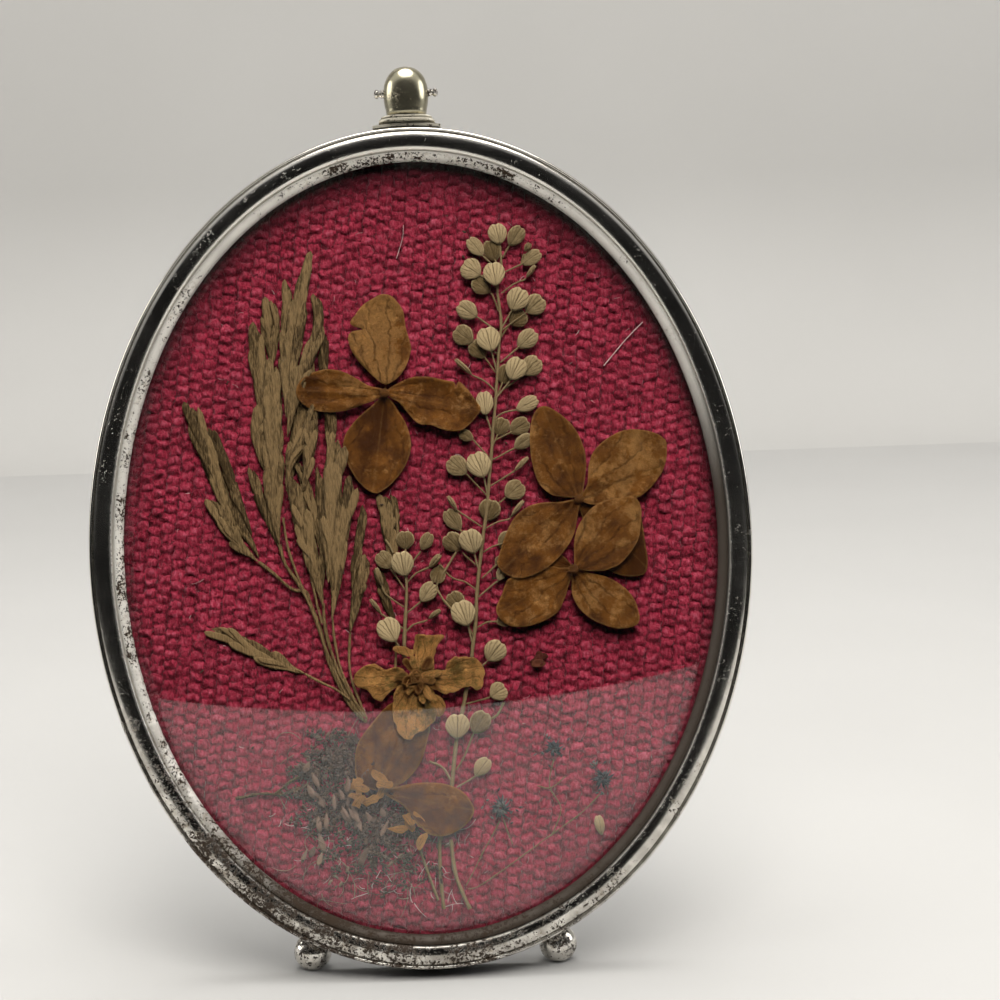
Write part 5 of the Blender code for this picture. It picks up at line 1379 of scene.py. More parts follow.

# Pods of the tall stem: (centre, (width, height), tone, how far forward, pedicel from pod to stem); the tone paints
# light and shade, pale for pods lying forward and dark for pods further back
TALL_PODS = [
    ((13.1, 46.6), (2.9, 3.1), 0.95, 2, [(13.4, 45.0)]),
    ((15.9, 46.2), (2.6, 3.3), 0.40, 1, [(14.6, 44.4), (13.8, 43.0)]),
    ((9.7, 44.8), (2.3, 3.3), 0.60, 1, [(10.9, 43.2), (12.2, 42.0)]),
    ((12.2, 44.2), (2.8, 3.3), 0.20, 0, [(12.6, 42.6), (13.2, 41.6)]),
    ((8.9, 41.4), (3.4, 3.1), 0.72, 1, [(10.6, 40.2), (12.4, 38.8)]),
    ((12.4, 40.6), (3.3, 3.6), 0.95, 3, [(12.7, 38.6), (12.9, 37.4)]),
    ((10.4, 39.0), (3.0, 3.1), 0.22, 0, [(12.0, 37.5), (12.9, 34.9)]),
    ((18.2, 42.8), (2.3, 3.2), 0.50, 1, [(16.7, 41.9), (14.0, 40.8)]),
    ((17.6, 44.4), (1.1, 1.5), 0.35, 1, [(16.9, 43.2), (16.5, 42.0)]),
    ((18.0, 40.8), (0.8, 2.3), 0.55, 1, [(17.0, 39.5), (15.5, 39.0), (13.4, 37.6)]),
    ((15.8, 36.6), (3.4, 3.6), 0.90, 3, [(14.8, 34.8), (13.2, 32.3)]),
    ((18.4, 35.7), (3.3, 3.3), 0.48, 1, [(16.8, 34.4), (13.2, 32.0)]),
    ((15.8, 33.8), (3.0, 2.8), 0.15, 0, [(14.4, 32.8), (13.1, 31.0)]),
    ((8.1, 35.2), (2.9, 3.3), 0.70, 1, [(9.8, 34.0), (12.2, 32.2)]),
    ((7.4, 31.5), (3.2, 3.3), 0.28, 0, [(9.0, 30.2), (12.4, 28.6)]),
    ((11.2, 30.8), (3.6, 3.7), 1.00, 3, [(11.6, 28.9), (12.3, 25.8)]),
    ((9.6, 29.4), (3.0, 3.0), 0.15, 0, [(10.6, 28.0), (12.1, 25.7)]),
    ((17.1, 30.6), (2.9, 3.5), 0.66, 1, [(15.7, 29.4), (12.9, 27.2)]),
    ((15.2, 26.2), (3.3, 3.5), 0.98, 3, [(14.2, 24.3), (12.2, 22.0)]),
    ((17.6, 26.5), (3.2, 3.3), 0.50, 1, [(16.0, 25.0), (12.2, 22.4)]),
    ((13.6, 25.5), (2.6, 3.0), 0.15, 0, [(13.0, 24.0), (12.2, 22.0)]),
    ((7.2, 26.8), (0.9, 3.4), 0.50, 1, [(8.6, 25.4), (10.5, 24.4), (12.0, 22.9)]),
    ((10.3, 21.3), (2.7, 3.6), 0.88, 1, [(10.5, 19.2), (11.3, 16.5)]),
    ((16.8, 20.8), (2.3, 3.6), 0.75, 1, [(15.2, 20.0), (13.0, 19.6), (11.9, 18.8)]),
    ((12.7, 17.6), (2.6, 2.8), 0.20, 0, [(12.0, 16.2), (11.2, 14.6)]),
    ((15.5, 17.5), (2.8, 3.2), 0.25, 0, [(14.0, 16.6), (11.4, 15.4)]),
    ((16.0, 15.2), (2.2, 3.2), 0.42, 1, [(14.5, 14.2), (11.2, 12.6)]),
    ((15.6, 11.9), (0.9, 2.9), 0.50, 1, [(14.4, 10.8), (12.4, 9.6), (10.6, 8.6)]),
    ((7.3, 16.4), (1.8, 2.3), 0.22, 0, [(8.2, 15.9), (10.6, 13.1)]),
    ((5.8, 11.9), (3.2, 3.4), 0.35, 0, [(7.4, 10.4), (10.2, 7.2)]),
    ((9.1, 12.0), (3.7, 3.9), 1.00, 3, [(9.8, 10.1), (10.3, 6.9)]),
    ((14.4, 8.0), (3.2, 3.2), 0.30, 1, [(12.9, 6.8), (10.2, 4.8)]),
    ((10.5, 5.2), (3.4, 3.3), 0.20, 0, [(10.0, 3.6), (9.6, 2.0)]),
    ((14.7, 5.2), (0.8, 3.2), 0.55, 1, [(13.4, 3.6), (11.5, 3.2), (9.8, 2.3)]),
    ((4.9, 6.4), (0.8, 2.6), 0.50, 1, [(5.6, 5.2), (7.0, 4.2), (9.2, 2.6)]),
    ((4.9, 3.9), (2.6, 3.6), 0.30, 0, [(6.0, 2.2), (8.9, -1.0)]),
    ((4.8, 0.5), (3.2, 3.2), 0.25, 0, [(6.5, -1.5), (8.4, -3.3)]),
    ((7.5, 0.6), (3.6, 3.7), 1.00, 3, [(8.0, -1.4), (8.5, -3.8)]),
    ((12.8, 0.6), (2.4, 2.8), 0.30, 0, [(12.3, 0.0), (10.8, -0.4), (9.4, -1.2)]),
    ((12.0, -4.3), (1.6, 2.6), 0.70, 0, [(11.4, -5.6), (11.0, -5.8), (8.4, -7.9)]),
    ((11.8, -2.6), (1.6, 1.8), 0.30, 0, [(11.2, -3.2), (9.0, -5.1)]),
    ((2.4, -4.4), (2.4, 2.8), 0.22, 0, [(2.8, -2.8), (4.4, -4.8), (6.5, -5.6), (7.9, -6.7)]),
    ((6.0, -10.1), (3.7, 3.9), 1.00, 3, [(6.7, -12.2), (7.2, -14.9)]),
    ((4.9, -8.3), (2.9, 3.0), 0.15, 0, [(5.8, -9.8), (7.4, -13.8)]),
    ((12.2, -11.4), (2.2, 2.4), 0.30, 0, [(11.5, -11.7), (9.6, -11.7), (8.0, -12.5)]),
    ((10.6, -16.0), (3.4, 3.5), 0.82, 2, [(9.2, -17.7), (7.2, -19.2)]),
    ((10.9, -22.1), (3.0, 2.6), 0.60, 1, [(9.4, -23.0), (6.0, -23.8)]),
    ((4.6, -26.9), (3.7, 3.7), 1.00, 3, [(4.5, -28.9), (4.2, -31.2)]),
    ((8.0, -26.5), (3.2, 3.6), 0.30, 1, [(6.8, -28.5), (5.5, -31.5), (4.2, -33.6)]),
    ((8.1, -33.2), (2.4, 3.2), 0.75, 1, [(6.9, -34.7), (4.2, -36.2)]),
]
SHORT_PODS = [
    ((-2.8, -2.4), (3.4, 3.8), 0.98, 3, [(-2.5, -4.4), (-2.3, -6.0)]),
    ((-5.6, -1.8), (2.6, 2.9), 0.30, 0, [(-4.6, -3.2), (-2.6, -6.4)]),
    ((-2.3, 1.1), (2.8, 2.8), 0.22, 0, [(-2.3, -0.6), (-2.3, -3.6)]),
    ((0.9, 0.8), (2.0, 2.8), 0.32, 1, [(-0.2, -1.0), (-1.2, -2.2), (-2.2, -4.4)]),
    ((2.1, -2.2), (1.1, 2.6), 0.42, 1, [(1.2, -3.2), (-0.8, -4.0), (-2.2, -5.3)]),
    ((0.9, -6.8), (2.6, 3.3), 0.55, 1, [(-0.3, -8.3), (-2.5, -10.0)]),
    ((-5.2, -12.2), (3.6, 3.8), 1.00, 3, [(-4.2, -14.2), (-3.0, -16.0)]),
    ((-7.1, -8.7), (0.8, 2.9), 0.40, 1, [(-6.3, -9.9), (-2.8, -12.4)]),
    ((-6.4, -4.3), (1.0, 3.0), 0.38, 1, [(-6.0, -5.8), (-5.5, -7.0), (-2.9, -9.0)]),
    ((1.8, -10.2), (0.9, 2.2), 0.40, 1, [(0.4, -11.2), (-1.5, -11.7), (-2.8, -12.9)]),
]
LOOSE_ARCS = [[(9.5, -26.2), (10.6, -25.6), (11.6, -23.8)], [(3.2, -35.0), (2.2, -33.2), (0.2, -32.2)],
              [(5.3, -1.0), (2.6, -5.2), (2.2, -6.3), (3.0, -8.0), (4.2, -9.5)]]


def pod_template():
    """A flat round pod, point down: thin rim, two swollen halves, a midline and a notch on top."""
    steps, rings = 18, 5
    points = []
    edge = []
    for side in (1, -1):
        points.append((0.0, 0.02, 0.20 * side))
        edge.append(1.0)
        for r in range(1, rings + 1):
            s = r / rings
            for k in range(steps):
                angle = 2 * math.pi * k / steps
                x, y = math.sin(angle), math.cos(angle)
                reach = 1.0 - 0.16 * math.exp(-(x / 0.17) ** 2) * max(0.0, y)
                reach *= 1.0 - 0.10 * max(0.0, -y) ** 2 * abs(x)
                taper = 1.0 + 0.14 * max(0.0, -y) ** 6
                px, py = 0.5 * s * x * reach, 0.5 * s * y * reach * taper
                bulge = 0.30 * (1 - s * s) ** 0.8 * (1 - 0.55 * math.exp(-(px / 0.055) ** 2)) + 0.018
                points.append((px, py, side * bulge))
                edge.append(1.0 - s)
    half = 1 + rings * steps
    faces = []
    for side in (0, 1):
        start = side * half
        for k in range(steps):
            nxt = (k + 1) % steps
            fan = (start, start + 1 + nxt, start + 1 + k)
            faces.append(fan if side == 0 else fan[::-1])
            for r in range(rings - 1):
                a, b = start + 1 + r * steps, start + 1 + (r + 1) * steps
                quad = (a + k, a + nxt, b + nxt, b + k)
                faces.append(quad if side == 0 else quad[::-1])
    a, b = 1 + (rings - 1) * steps, half + 1 + (rings - 1) * steps
    for k in range(steps):
        nxt = (k + 1) % steps
        faces.append((a + k, a + nxt, b + nxt, b + k))
    mesh = bpy.data.meshes.new("pod")
    mesh.from_pydata(points, [], faces)
    for label, values in (("edge", edge), ("pod_x", [p[0] for p in points]), ("pod_y", [p[1] for p in points])):
        mesh.attributes.new(label, "FLOAT", "POINT").data.foreach_set("value", np.array(values, np.float32))
    return link("pod", mesh)


def raceme(name, stem, pods, layer, node, seed, extra=()):
    """A stem with its pedicels and pods."""
    rng = random.Random(seed)
    spots = []
    paths = []
    base = LAYER[layer]
    for (x, y), (wide, tall), tone, forward, pedicel in pods:
        jx, jy = pedicel[0]
        turn = math.atan2(jy - y, jx - x) + math.pi / 2
        lift = base + 0.30 * forward + rng.uniform(-0.05, 0.05)
        flat = 0.55 if min(wide, tall) > 1.4 else 1.4
        tilt = (rng.uniform(-0.16, 0.16), rng.uniform(-0.16, 0.16), turn)
        # The pod's tone paints light and shade: pale when it lies forward, dark further back.
        spots.append(((x, y, lift), tilt, (wide, tall, 3.0 * flat * 0.5), tone))
        ahead = Vector((x - jx, y - jy))
        joint = (jx + 0.16 * ahead.x, jy + 0.16 * ahead.y)
        way = [joint] + list(pedicel)
        steps = rounded([(px, py, lift - 0.30 * forward * min(1.0, 1.4 * i / len(way)) + 0.02)
                         for i, (px, py) in enumerate(way)], step=0.7)
        count = len(steps)
        radii = [0.15 - 0.03 * min(1.0, i / max(1, count - 1)) for i in range(count)]
        radii[0] = 0.08
        # The pedicel takes its pod's painted light and shade.
        paths.append((steps, radii, 0.30 + 0.4 * tone, False))
    for arc in extra:
        steps = rounded([(px, py, base + 0.15) for px, py in arc], step=0.7)
        paths.append((steps, [0.15 + 0.05 * math.sin(i) ** 2 for i in range(len(steps))], 0.5, False))
    steps = rounded([(px, py, base + 0.10) for px, py in stem], step=1.0)
    radii = [0.20 + 0.13 * i / len(steps) + 0.03 * math.sin(1.9 * i) for i in range(len(steps))]
    paths.append((steps, radii, 0.48, False))
    template = pod_template()
    pod_item = copies(name + "_pods", template, spots, finish("pod"), wobble=0.15, wobble_scale=0.8)
    discard(template)
    stem_item = swept(name + "_stem", paths, tube(8), finish("stem"), wobble=0.10, wobble_scale=0.9)
    settle(pod_item, "dry_pods", node)
    settle(stem_item, "dry_pods", node)


def pepper_grass():
    """Both stems of pepper-grass."""
    raceme("peppergrass_tall", TALL_STEM, TALL_PODS, 2, "peppergrass_tall", 5, LOOSE_ARCS)
    needle = [[(-5.3, 1.2), (-4.7, 0.3), (-4.2, -0.8)]]
    raceme("peppergrass_short", SHORT_STEM, SHORT_PODS, 2, "peppergrass_short", 6, needle)


# Spikelets, from tip to base with the width of each
GRASS = {
    "grass_far_left": (0, [
        ([(-31.7, 19.7), (-29.3, 14.0), (-27.2, 8.0), (-25.3, 2.5)], 1.5, 0.18),
        ([(-34.0, 23.2), (-32.3, 17.0), (-30.0, 10.0), (-28.0, 5.0), (-25.5, 1.5), (-24.3, -1.0)], 2.1, 0.55),
        ([(-31.5, 8.5), (-29.5, 4.5), (-27.0, 1.0), (-24.5, -1.5)], 1.8, 0.62)]),
    "grass_left": (0, [
        ([(-24.9, 12.8), (-24.3, 9.0), (-22.5, 4.0), (-21.3, 0.5)], 1.4, 0.35),
        ([(-21.8, 38.3), (-21.8, 33.0), (-21.6, 28.0)], 1.6, 0.45),
        ([(-23.4, 34.6), (-23.6, 31.0), (-23.1, 26.0), (-22.9, 21.0), (-24.0, 17.0), (-23.0, 12.0)], 2.2, 0.55),
        ([(-20.9, 37.8), (-20.6, 33.0), (-21.9, 26.0)], 0.9, 0.60),
        ([(-20.7, 29.0), (-21.5, 22.0), (-21.6, 14.0), (-21.8, 7.0), (-21.2, 1.0)], 2.4, 0.62)]),
    "grass_middle": (1, [
        ([(-14.9, 28.5), (-16.3, 24.0), (-17.6, 18.5), (-18.8, 13.5), (-19.9, 9.0)], 2.4, 0.62),
        ([(-18.6, 40.8), (-18.9, 36.0), (-19.3, 30.0), (-19.6, 22.0)], 1.5, 0.50),
        ([(-14.2, 38.5), (-14.2, 35.0), (-14.7, 31.0), (-16.0, 26.0)], 1.4, 0.35),
        ([(-13.5, 33.0), (-13.7, 27.0), (-15.2, 21.0)], 1.2, 0.25),
        ([(-12.8, 21.5), (-12.9, 18.0), (-13.1, 13.5)], 1.6, 0.42),
        ([(-14.7, 44.8), (-16.0, 41.0), (-17.3, 36.0), (-18.8, 29.0), (-19.5, 20.0)], 1.7, 0.60),
        ([(-15.8, 37.3), (-17.0, 33.0), (-18.2, 27.0), (-19.0, 21.0)], 1.2, 0.40),
        ([(-13.5, 34.7), (-14.8, 31.5), (-16.2, 28.0), (-17.7, 24.5), (-19.4, 17.0)], 1.7, 0.58),
        ([(-14.6, 21.5), (-16.4, 18.0), (-18.7, 14.0), (-19.8, 9.5)], 1.6, 0.55),
        ([(-15.2, 19.5), (-16.2, 14.5), (-17.2, 9.0)], 1.6, 0.66)]),
    "grass_front": (2, [
        ([(-18.6, 14.2), (-17.0, 10.0), (-15.8, 5.0), (-15.2, 0.0)], 1.2, 0.70),
        ([(-14.9, 12.5), (-14.8, 7.0), (-14.6, 1.0), (-14.9, -6.0)], 1.4, 0.18),
        ([(-18.7, 11.6), (-18.2, 7.0), (-16.9, 1.5), (-15.7, -4.0), (-14.9, -8.5)], 2.3, 0.60),
        ([(-8.2, 6.5), (-9.2, 1.0), (-10.5, -6.0)], 1.2, 0.45),
        ([(-8.0, -1.0), (-9.5, -6.0), (-11.0, -12.5)], 1.6, 0.38),
        ([(-9.7, 10.8), (-11.0, 6.0), (-12.0, 1.0), (-12.8, -5.0), (-13.6, -10.5)], 2.0, 0.55),
        ([(-11.6, 17.4), (-12.7, 12.0), (-13.1, 6.0), (-13.5, 0.0), (-14.0, -5.0)], 2.5, 0.72)]),
    "grass_small": (0, [
        ([(-6.5, -3.0), (-5.5, -8.0), (-4.0, -12.0)], 1.4, 0.20),
        ([(-3.9, 8.0), (-3.5, 4.0), (-3.3, 1.0)], 0.9, 0.55),
        ([(-5.2, 8.2), (-4.7, 2.0), (-3.7, -4.0)], 1.9, 0.55)]),
    "grass_low": (0, [
        ([(-32.4, -10.9), (-28.0, -13.4), (-24.0, -15.7), (-21.0, -17.3), (-18.0, -18.5)], 2.0, 0.72)]),
}

GRASS_STALKS = [
    [(-24.4, -1.5), (-22.0, -3.5), (-19.5, -5.8), (-17.5, -6.2), (-16.8, -8.0), (-15.5, -12.0), (-14.3, -17.0),
     (-12.5, -21.5), (-10.5, -24.7), (-9.0, -26.0)],
    [(-21.2, 1.0), (-20.4, -2.0), (-18.4, -5.2), (-16.4, -9.5), (-14.9, -14.5), (-13.0, -19.5), (-10.8, -23.8)],
    [(-20.5, 5.0), (-19.8, 0.0), (-18.0, -5.5), (-16.0, -10.8), (-14.4, -16.0), (-12.0, -21.8), (-9.6, -25.2)],
    [(-14.9, -8.0), (-14.7, -12.0), (-13.6, -16.5), (-12.0, -20.5), (-10.0, -24.0)],
    [(-13.6, -10.0), (-13.4, -13.5), (-12.6, -18.0), (-11.0, -22.0), (-9.3, -25.2)],
    [(-11.0, -12.5), (-11.3, -17.0), (-10.8, -20.5), (-8.9, -25.6)],
    [(-18.0, -18.5), (-15.0, -20.2), (-13.4, -21.0), (-11.4, -22.6)],
    [(-17.2, 9.0), (-17.4, 4.0), (-16.9, -1.0), (-16.2, -6.0), (-15.2, -11.0)],
    [(-4.0, -12.0), (-4.2, -15.0), (-4.4, -18.0)],
]

RIB_STEPS = 14


def ribbed():
    """The section of a grass scale: a low ribbed arch over a flat back."""
    top = []
    for k in range(RIB_STEPS + 1):
        x = 1.0 - 2.0 * k / RIB_STEPS
        arch = 0.50 * math.sqrt(max(0.0, 1.0 - x * x))
        top.append((x, arch * (1.0 if k % 2 else 0.70) + 0.02))
    return top + [(-0.6, -0.06), (0.0, -0.08), (0.6, -0.06)]


def scale_path(path, start, end, wide, sway, lift, tone, rise=0.0):
    """One grass scale along part of a spikelet's line, widest below its middle."""
    count = len(path) - 1
    steps = 15
    out = []
    radii = []
    for k in range(steps):
        t = k / (steps - 1)
        place = (start + (end - start) * t) * count
        i = min(int(place), count - 1)
        point = path[i] + (path[i + 1] - path[i]) * (place - i)
        ahead = path[min(i + 1, count)] - path[max(i - 1, 0)]
        ahead = ahead / max(1e-6, np.linalg.norm(ahead[:2]))
        lean = sway * math.sin(math.pi * min(1.0, 0.35 + t)) * (1.0 - 0.35 * t)
        x = point[0] - ahead[1] * lean * (1.0 - t) * 1.4
        y = point[1] + ahead[0] * lean * (1.0 - t) * 1.4
        out.append((x, y, lift + rise * (1.0 - t)))
        body = math.sin(math.pi * min(1.0, 0.02 + 0.98 * t) ** 0.60) ** 0.85 if 0 < t < 1 else 0.0
        radii.append(max(0.025, 0.68 * wide * body))
    return (out, radii, tone, False)


def grasses():
    """The spikelets of the grass head, each of several ribbed scales, and the stalk they join."""
    for seed, (node, (layer, spikelets)) in enumerate(GRASS.items()):
        rng = random.Random(500 + seed)
        paths = []
        for order, (line, wide, tone) in enumerate(spikelets):
            base = LAYER[layer] + 0.13 * order
            path = rounded([(x, y, 0.0) for x, y in line], step=0.8)
            reach = sum(np.linalg.norm(b - a) for a, b in zip(path, path[1:]))
            # The full-width scale beneath the others is darker: painted shade showing in the gaps between scales.
            paths.append(scale_path(path, 0.06, 1.0, wide * 0.86, 0.0, base, tone * 0.55))
            count = max(3, int(round(reach / 2.7)))
            for k in range(count):
                start = 0.72 * k / count if k else 0.0
                end = min(1.0, start + rng.uniform(0.34, 0.50) + 2.4 / reach)
                side = (1 if k % 2 else -1) * rng.uniform(0.10, 0.42) * wide
                paths.append(scale_path(path, start, end, wide * rng.uniform(0.36, 0.58), side,
                                        base + 0.10 + 0.03 * (count - k), tone + rng.uniform(-0.34, 0.26),
                                        rise=rng.uniform(0.05, 0.22)))
            for _ in range(2):
                start = rng.uniform(0.15, 0.6)
                paths.append(scale_path(path, start, min(1.0, start + rng.uniform(0.25, 0.4)), 0.34 * wide,
                                        rng.uniform(-0.5, 0.5) * wide, base + 0.30,
                                        tone + rng.uniform(0.0, 0.25), rise=0.25))
        item = swept(node + "_scales", paths, ribbed(), finish("grass"), wobble=0.16, wobble_scale=0.5)
        settle(item, "dry_grass", node)
    rng = random.Random(91)
    paths = []
    for order, line in enumerate(GRASS_STALKS):
        steps = rounded([(x, y, LAYER[1] + 0.06 * order) for x, y in line], step=0.9)
        thick = 0.26 if order in (0, 1, 3) else 0.19
        paths.append((steps, [thick * (1 + 0.12 * math.sin(0.8 * i + order)) for i in range(len(steps))],
                      0.5 + 0.3 * rng.random(), False))
    item = swept("grass_stalk_strands", paths, tube(8), finish("grass"), wobble=0.10, wobble_scale=0.6)
    settle(item, "dry_grass", "grass_stalk")


CUT_STALKS = {
    "stalk_left": ([(-2.0, -44.3), (-0.7, -48.5), (0.8, -53.0)], 0.20, 0),
    "stalk_middle": ([(1.3, -43.5), (1.25, -49.0), (1.6, -54.3)], 0.27, 0),
    "stalk_right": ([(3.0, -44.0), (3.6, -49.5), (5.5, -54.4)], 0.29, 1),
}


def stalks():
    """Cut stalk ends, the twig, the loose seed and the flake."""
    for node, (line, thick, layer) in CUT_STALKS.items():
        steps = rounded([(x, y, LAYER[layer] + 0.25) for x, y in line], step=0.7)
        radii = [thick * (1 + 0.08 * math.sin(1.3 * i)) for i in range(len(steps))]
        item = swept(node + "_cut", [(steps, radii, 0.48, False)], tube(10, 0.8), finish("stem"),
                     wobble=0.14, wobble_scale=0.7)
        settle(item, "dry_pods", node)
    twig = rounded([(-29.0, -36.8), (-25.0, -36.2), (-22.0, -36.4), (-18.0, -35.0)], step=0.8)
    fork = rounded([(-23.0, -36.3), (-20.8, -34.6), (-19.4, -33.9)], step=0.8)
    paths = [([(p[0], p[1], LAYER[0] + 0.2) for p in line], [0.22 + 0.05 * math.sin(2.1 * i)
                                                           for i in range(len(line))], 0.25, False)
             for line in (twig, fork)]
    settle(swept("leaf_twig_line", paths, tube(8), finish("grass"), wobble=0.3, wobble_scale=0.8),
           "dry_grass", "leaf_twig")
    template = pod_template()
    seed = copies("loose_pale_seed", template, [((25.3, -42.5, LAYER[0] + 0.25), (0.1, 0.1, 0.18),
                                                 (1.5, 3.0, 1.3), 1.0)], finish("pod"), 0.1, 1.0)
    discard(template)
    settle(seed, "dry_pods", "loose_seed")
    heap = Heap()
    crumple(heap, (17.3, -17.3), (0.6, 0.9), 4, LAYER[0] + 0.05, 81, 1.3, 0.15)
    settle(heap.finish("brown_leaf_flake", finish("flake"), 0.10), "dark_moss", "brown_flake")


def sprig_template(seed, leaves, reach, wide):
    """A tiny sprig: a bent thread with a few pointed leaves."""
    rng = random.Random(seed)
    heap = Heap()
    for k in range(leaves):
        t = (k + 1) / leaves
        angle = rng.uniform(-1.0, 1.0) + (1.2 if k % 2 else -1.2)
        x, y, z = 0.12 * math.sin(3 * t), reach * t * 0.6, 0.12 * t
        dx, dy = math.sin(angle), math.cos(angle) * 0.8
        long = reach * rng.uniform(0.25, 0.45)
        rise = rng.uniform(0.0, 0.25)
        points = [(x, y, z), (x + dx * long * 0.5 - dy * wide, y + dy * long * 0.5 + dx * wide, z + rise),
                  (x + dx * long, y + dy * long, z + rise * 1.5),
                  (x + dx * long * 0.5 + dy * wide, y + dy * long * 0.5 - dx * wide, z + rise * 0.6),
                  (x + dx * long * 0.45, y + dy * long * 0.45, z + rise + 0.12)]
        heap.add(points, [(0, 4, 1), (1, 4, 2), (2, 4, 3), (3, 4, 0), (0, 1, 2, 3)],
                 tone=rng.choice((0.05, 0.15, 0.25, 0.5)))
    w = 0.05
    heap.add([(-w, 0, 0), (w, 0, 0), (0, 0, 2 * w), (0.1 - w, reach * 0.6, 0.1), (0.1 + w, reach * 0.6, 0.1),
              (0.1, reach * 0.6, 0.1 + 2 * w)],
             [(0, 3, 4, 1), (1, 4, 5, 2), (2, 5, 3, 0), (0, 1, 2), (5, 4, 3)], tone=0.2)
    return heap.finish("sprig", finish("moss"))


def region_host(name, outline, lift):
    """A flat filled outline to scatter over."""
    mesh = bpy.data.meshes.new(name)
    mesh.from_pydata([(x, y, lift) for x, y in outline], [], [tuple(range(len(outline)))])
    return link(name, mesh)


MOSS_DARK = [(-18.5, -30.5), (-14.5, -28.2), (-11.0, -29.0), (-9.6, -33.0), (-8.4, -36.5), (-4.5, -38.2),
             (-2.6, -41.5), (-2.8, -45.5), (-5.5, -48.0), (-9.5, -46.0), (-12.5, -42.5), (-16.5, -42.0),
             (-18.8, -38.0), (-19.6, -34.0)]
MOSS_LOOSE = [(-21.0, -33.0), (-16.5, -27.0), (-10.0, -26.8), (-6.0, -37.0), (0.5, -43.5), (0.0, -50.0),
              (-8.0, -51.5), (-16.0, -46.5), (-20.5, -40.5)]


def tuft():
    """The dark tuft: crowded tiny sprigs, fine threads and a few pale leaves."""
    parts = []
    for index, (outline, density, small, large, lean) in enumerate((
            (MOSS_DARK, 1.35, 0.7, 1.7, 0.50), (MOSS_LOOSE, 0.42, 0.45, 1.3, 0.4))):
        template = sprig_template(200 + index, 8, 2.2, 0.20)
        host = region_host("tuft_part", outline, LAYER[0] + 0.06)
        tuft_tree().run(host, template=template, density=density, smallest=small, largest=large, lean=lean,
                        seed=31 + index, material=finish("moss"), wobble=0.35, wobble_scale=0.8)
        discard(template)
        parts.append(host)
    heap = Heap()
    rng = random.Random(207)
    for _ in range(34):
        x, y = rng.uniform(-19.5, -6.0), rng.uniform(-47.5, -32.5)
        turn = rng.uniform(0.9, 2.2)
        long, wide = rng.uniform(1.6, 3.4), rng.uniform(0.28, 0.5)
        dx, dy = math.cos(turn), math.sin(turn)
        outline = [(x, y), (x + 0.4 * long * dx - wide * dy, y + 0.4 * long * dy + wide * dx),
                   (x + long * dx, y + long * dy), (x + 0.4 * long * dx + wide * dy, y + 0.4 * long * dy - wide * dx)]
        petal(heap, outline, outline[0], outline[2], LAYER[0] + rng.uniform(0.5, 1.1), rng.randrange(999), 0.3,
              curl=0.5, tone=rng.choice((0.55, 0.75, 0.9)), spacing=0.45)
    parts.append(heap.finish("tuft_leaves", finish("moss"), 0.08))
    paths = []
    for _ in range(120):
        x, y = rng.uniform(-21.5, 0.0), rng.uniform(-52.5, -28.0)
        if y > -36.0 and x > -10.5:
            continue
        paths.append(thread(rng, x, y, rng.uniform(1.5, 5.5), LAYER[0] + rng.uniform(0.1, 0.8), 0.075,
                            rng.choice((0.1, 0.6, 0.95))))
    parts.append(swept("tuft_threads", paths, tube(4), finish("moss")))
    for part, label in zip(parts, ("dark", "loose", "leaves", "threads")):
        part.name = "tuft_" + label
        settle(part, "dark_moss", "moss_tuft")


def thread(rng, x, y, reach, lift, thick, tone):
    """A fine curved thread, as a path."""
    turn = rng.uniform(0, 2 * math.pi)
    bend = rng.uniform(-0.35, 0.35)
    path = []
    radii = []
    steps = max(5, int(reach / 0.5))
    for k in range(steps):
        path.append((x, y, lift + 0.12 * math.sin(k * 0.9)))
        radii.append(thick * (1.0 - 0.5 * k / steps))
        x += reach / steps * math.cos(turn)
        y += reach / steps * math.sin(turn)
        turn += bend + rng.uniform(-0.15, 0.15)
    return (path, radii, tone, False)


BLUE_HEADS = [((18.8, -31.0), 1.9, "blue_spray_right"), ((26.0, -35.8), 2.3, "blue_spray_right"),
              ((10.6, -39.6), 2.4, "blue_spray_left")]
BLUE_STEMS = {
    "blue_spray_left": (0, [[(10.4, -41.5), (9.0, -44.0), (7.5, -46.5), (6.2, -49.0), (5.0, -51.0)],
                            [(10.9, -41.2), (11.6, -43.4), (12.2, -45.0)]]),
    "blue_spray_right": (1, [[(25.5, -38.0), (23.0, -40.4), (20.0, -42.5), (17.3, -44.3), (8.0, -50.5),
                              (5.3, -51.5)],
                             [(18.8, -32.5), (18.0, -36.5), (19.6, -40.0), (18.0, -44.0)],
                             [(16.2, -36.4), (18.2, -36.8), (20.4, -35.2)]]),
}


def spike_template():
    """One narrow pointed floret of a tiny head."""
    heap = Heap()
    ring = [(-0.16, 0.45, 0.0), (0.0, 0.42, 0.09), (0.16, 0.45, 0.0), (0.0, 0.42, -0.05)]
    points = [(0.0, 0.0, 0.0)] + ring + [(0.0, 1.0, 0.05)]
    faces = [(0, 1 + k, 1 + (k + 1) % 4) for k in range(4)] + [(5, 1 + (k + 1) % 4, 1 + k) for k in range(4)]
    heap.add(points, [f[::-1] for f in faces])
    item = heap.finish("spike", finish("blue"))
    item.data.attributes.remove(item.data.attributes["tone"])
    return outward(item)


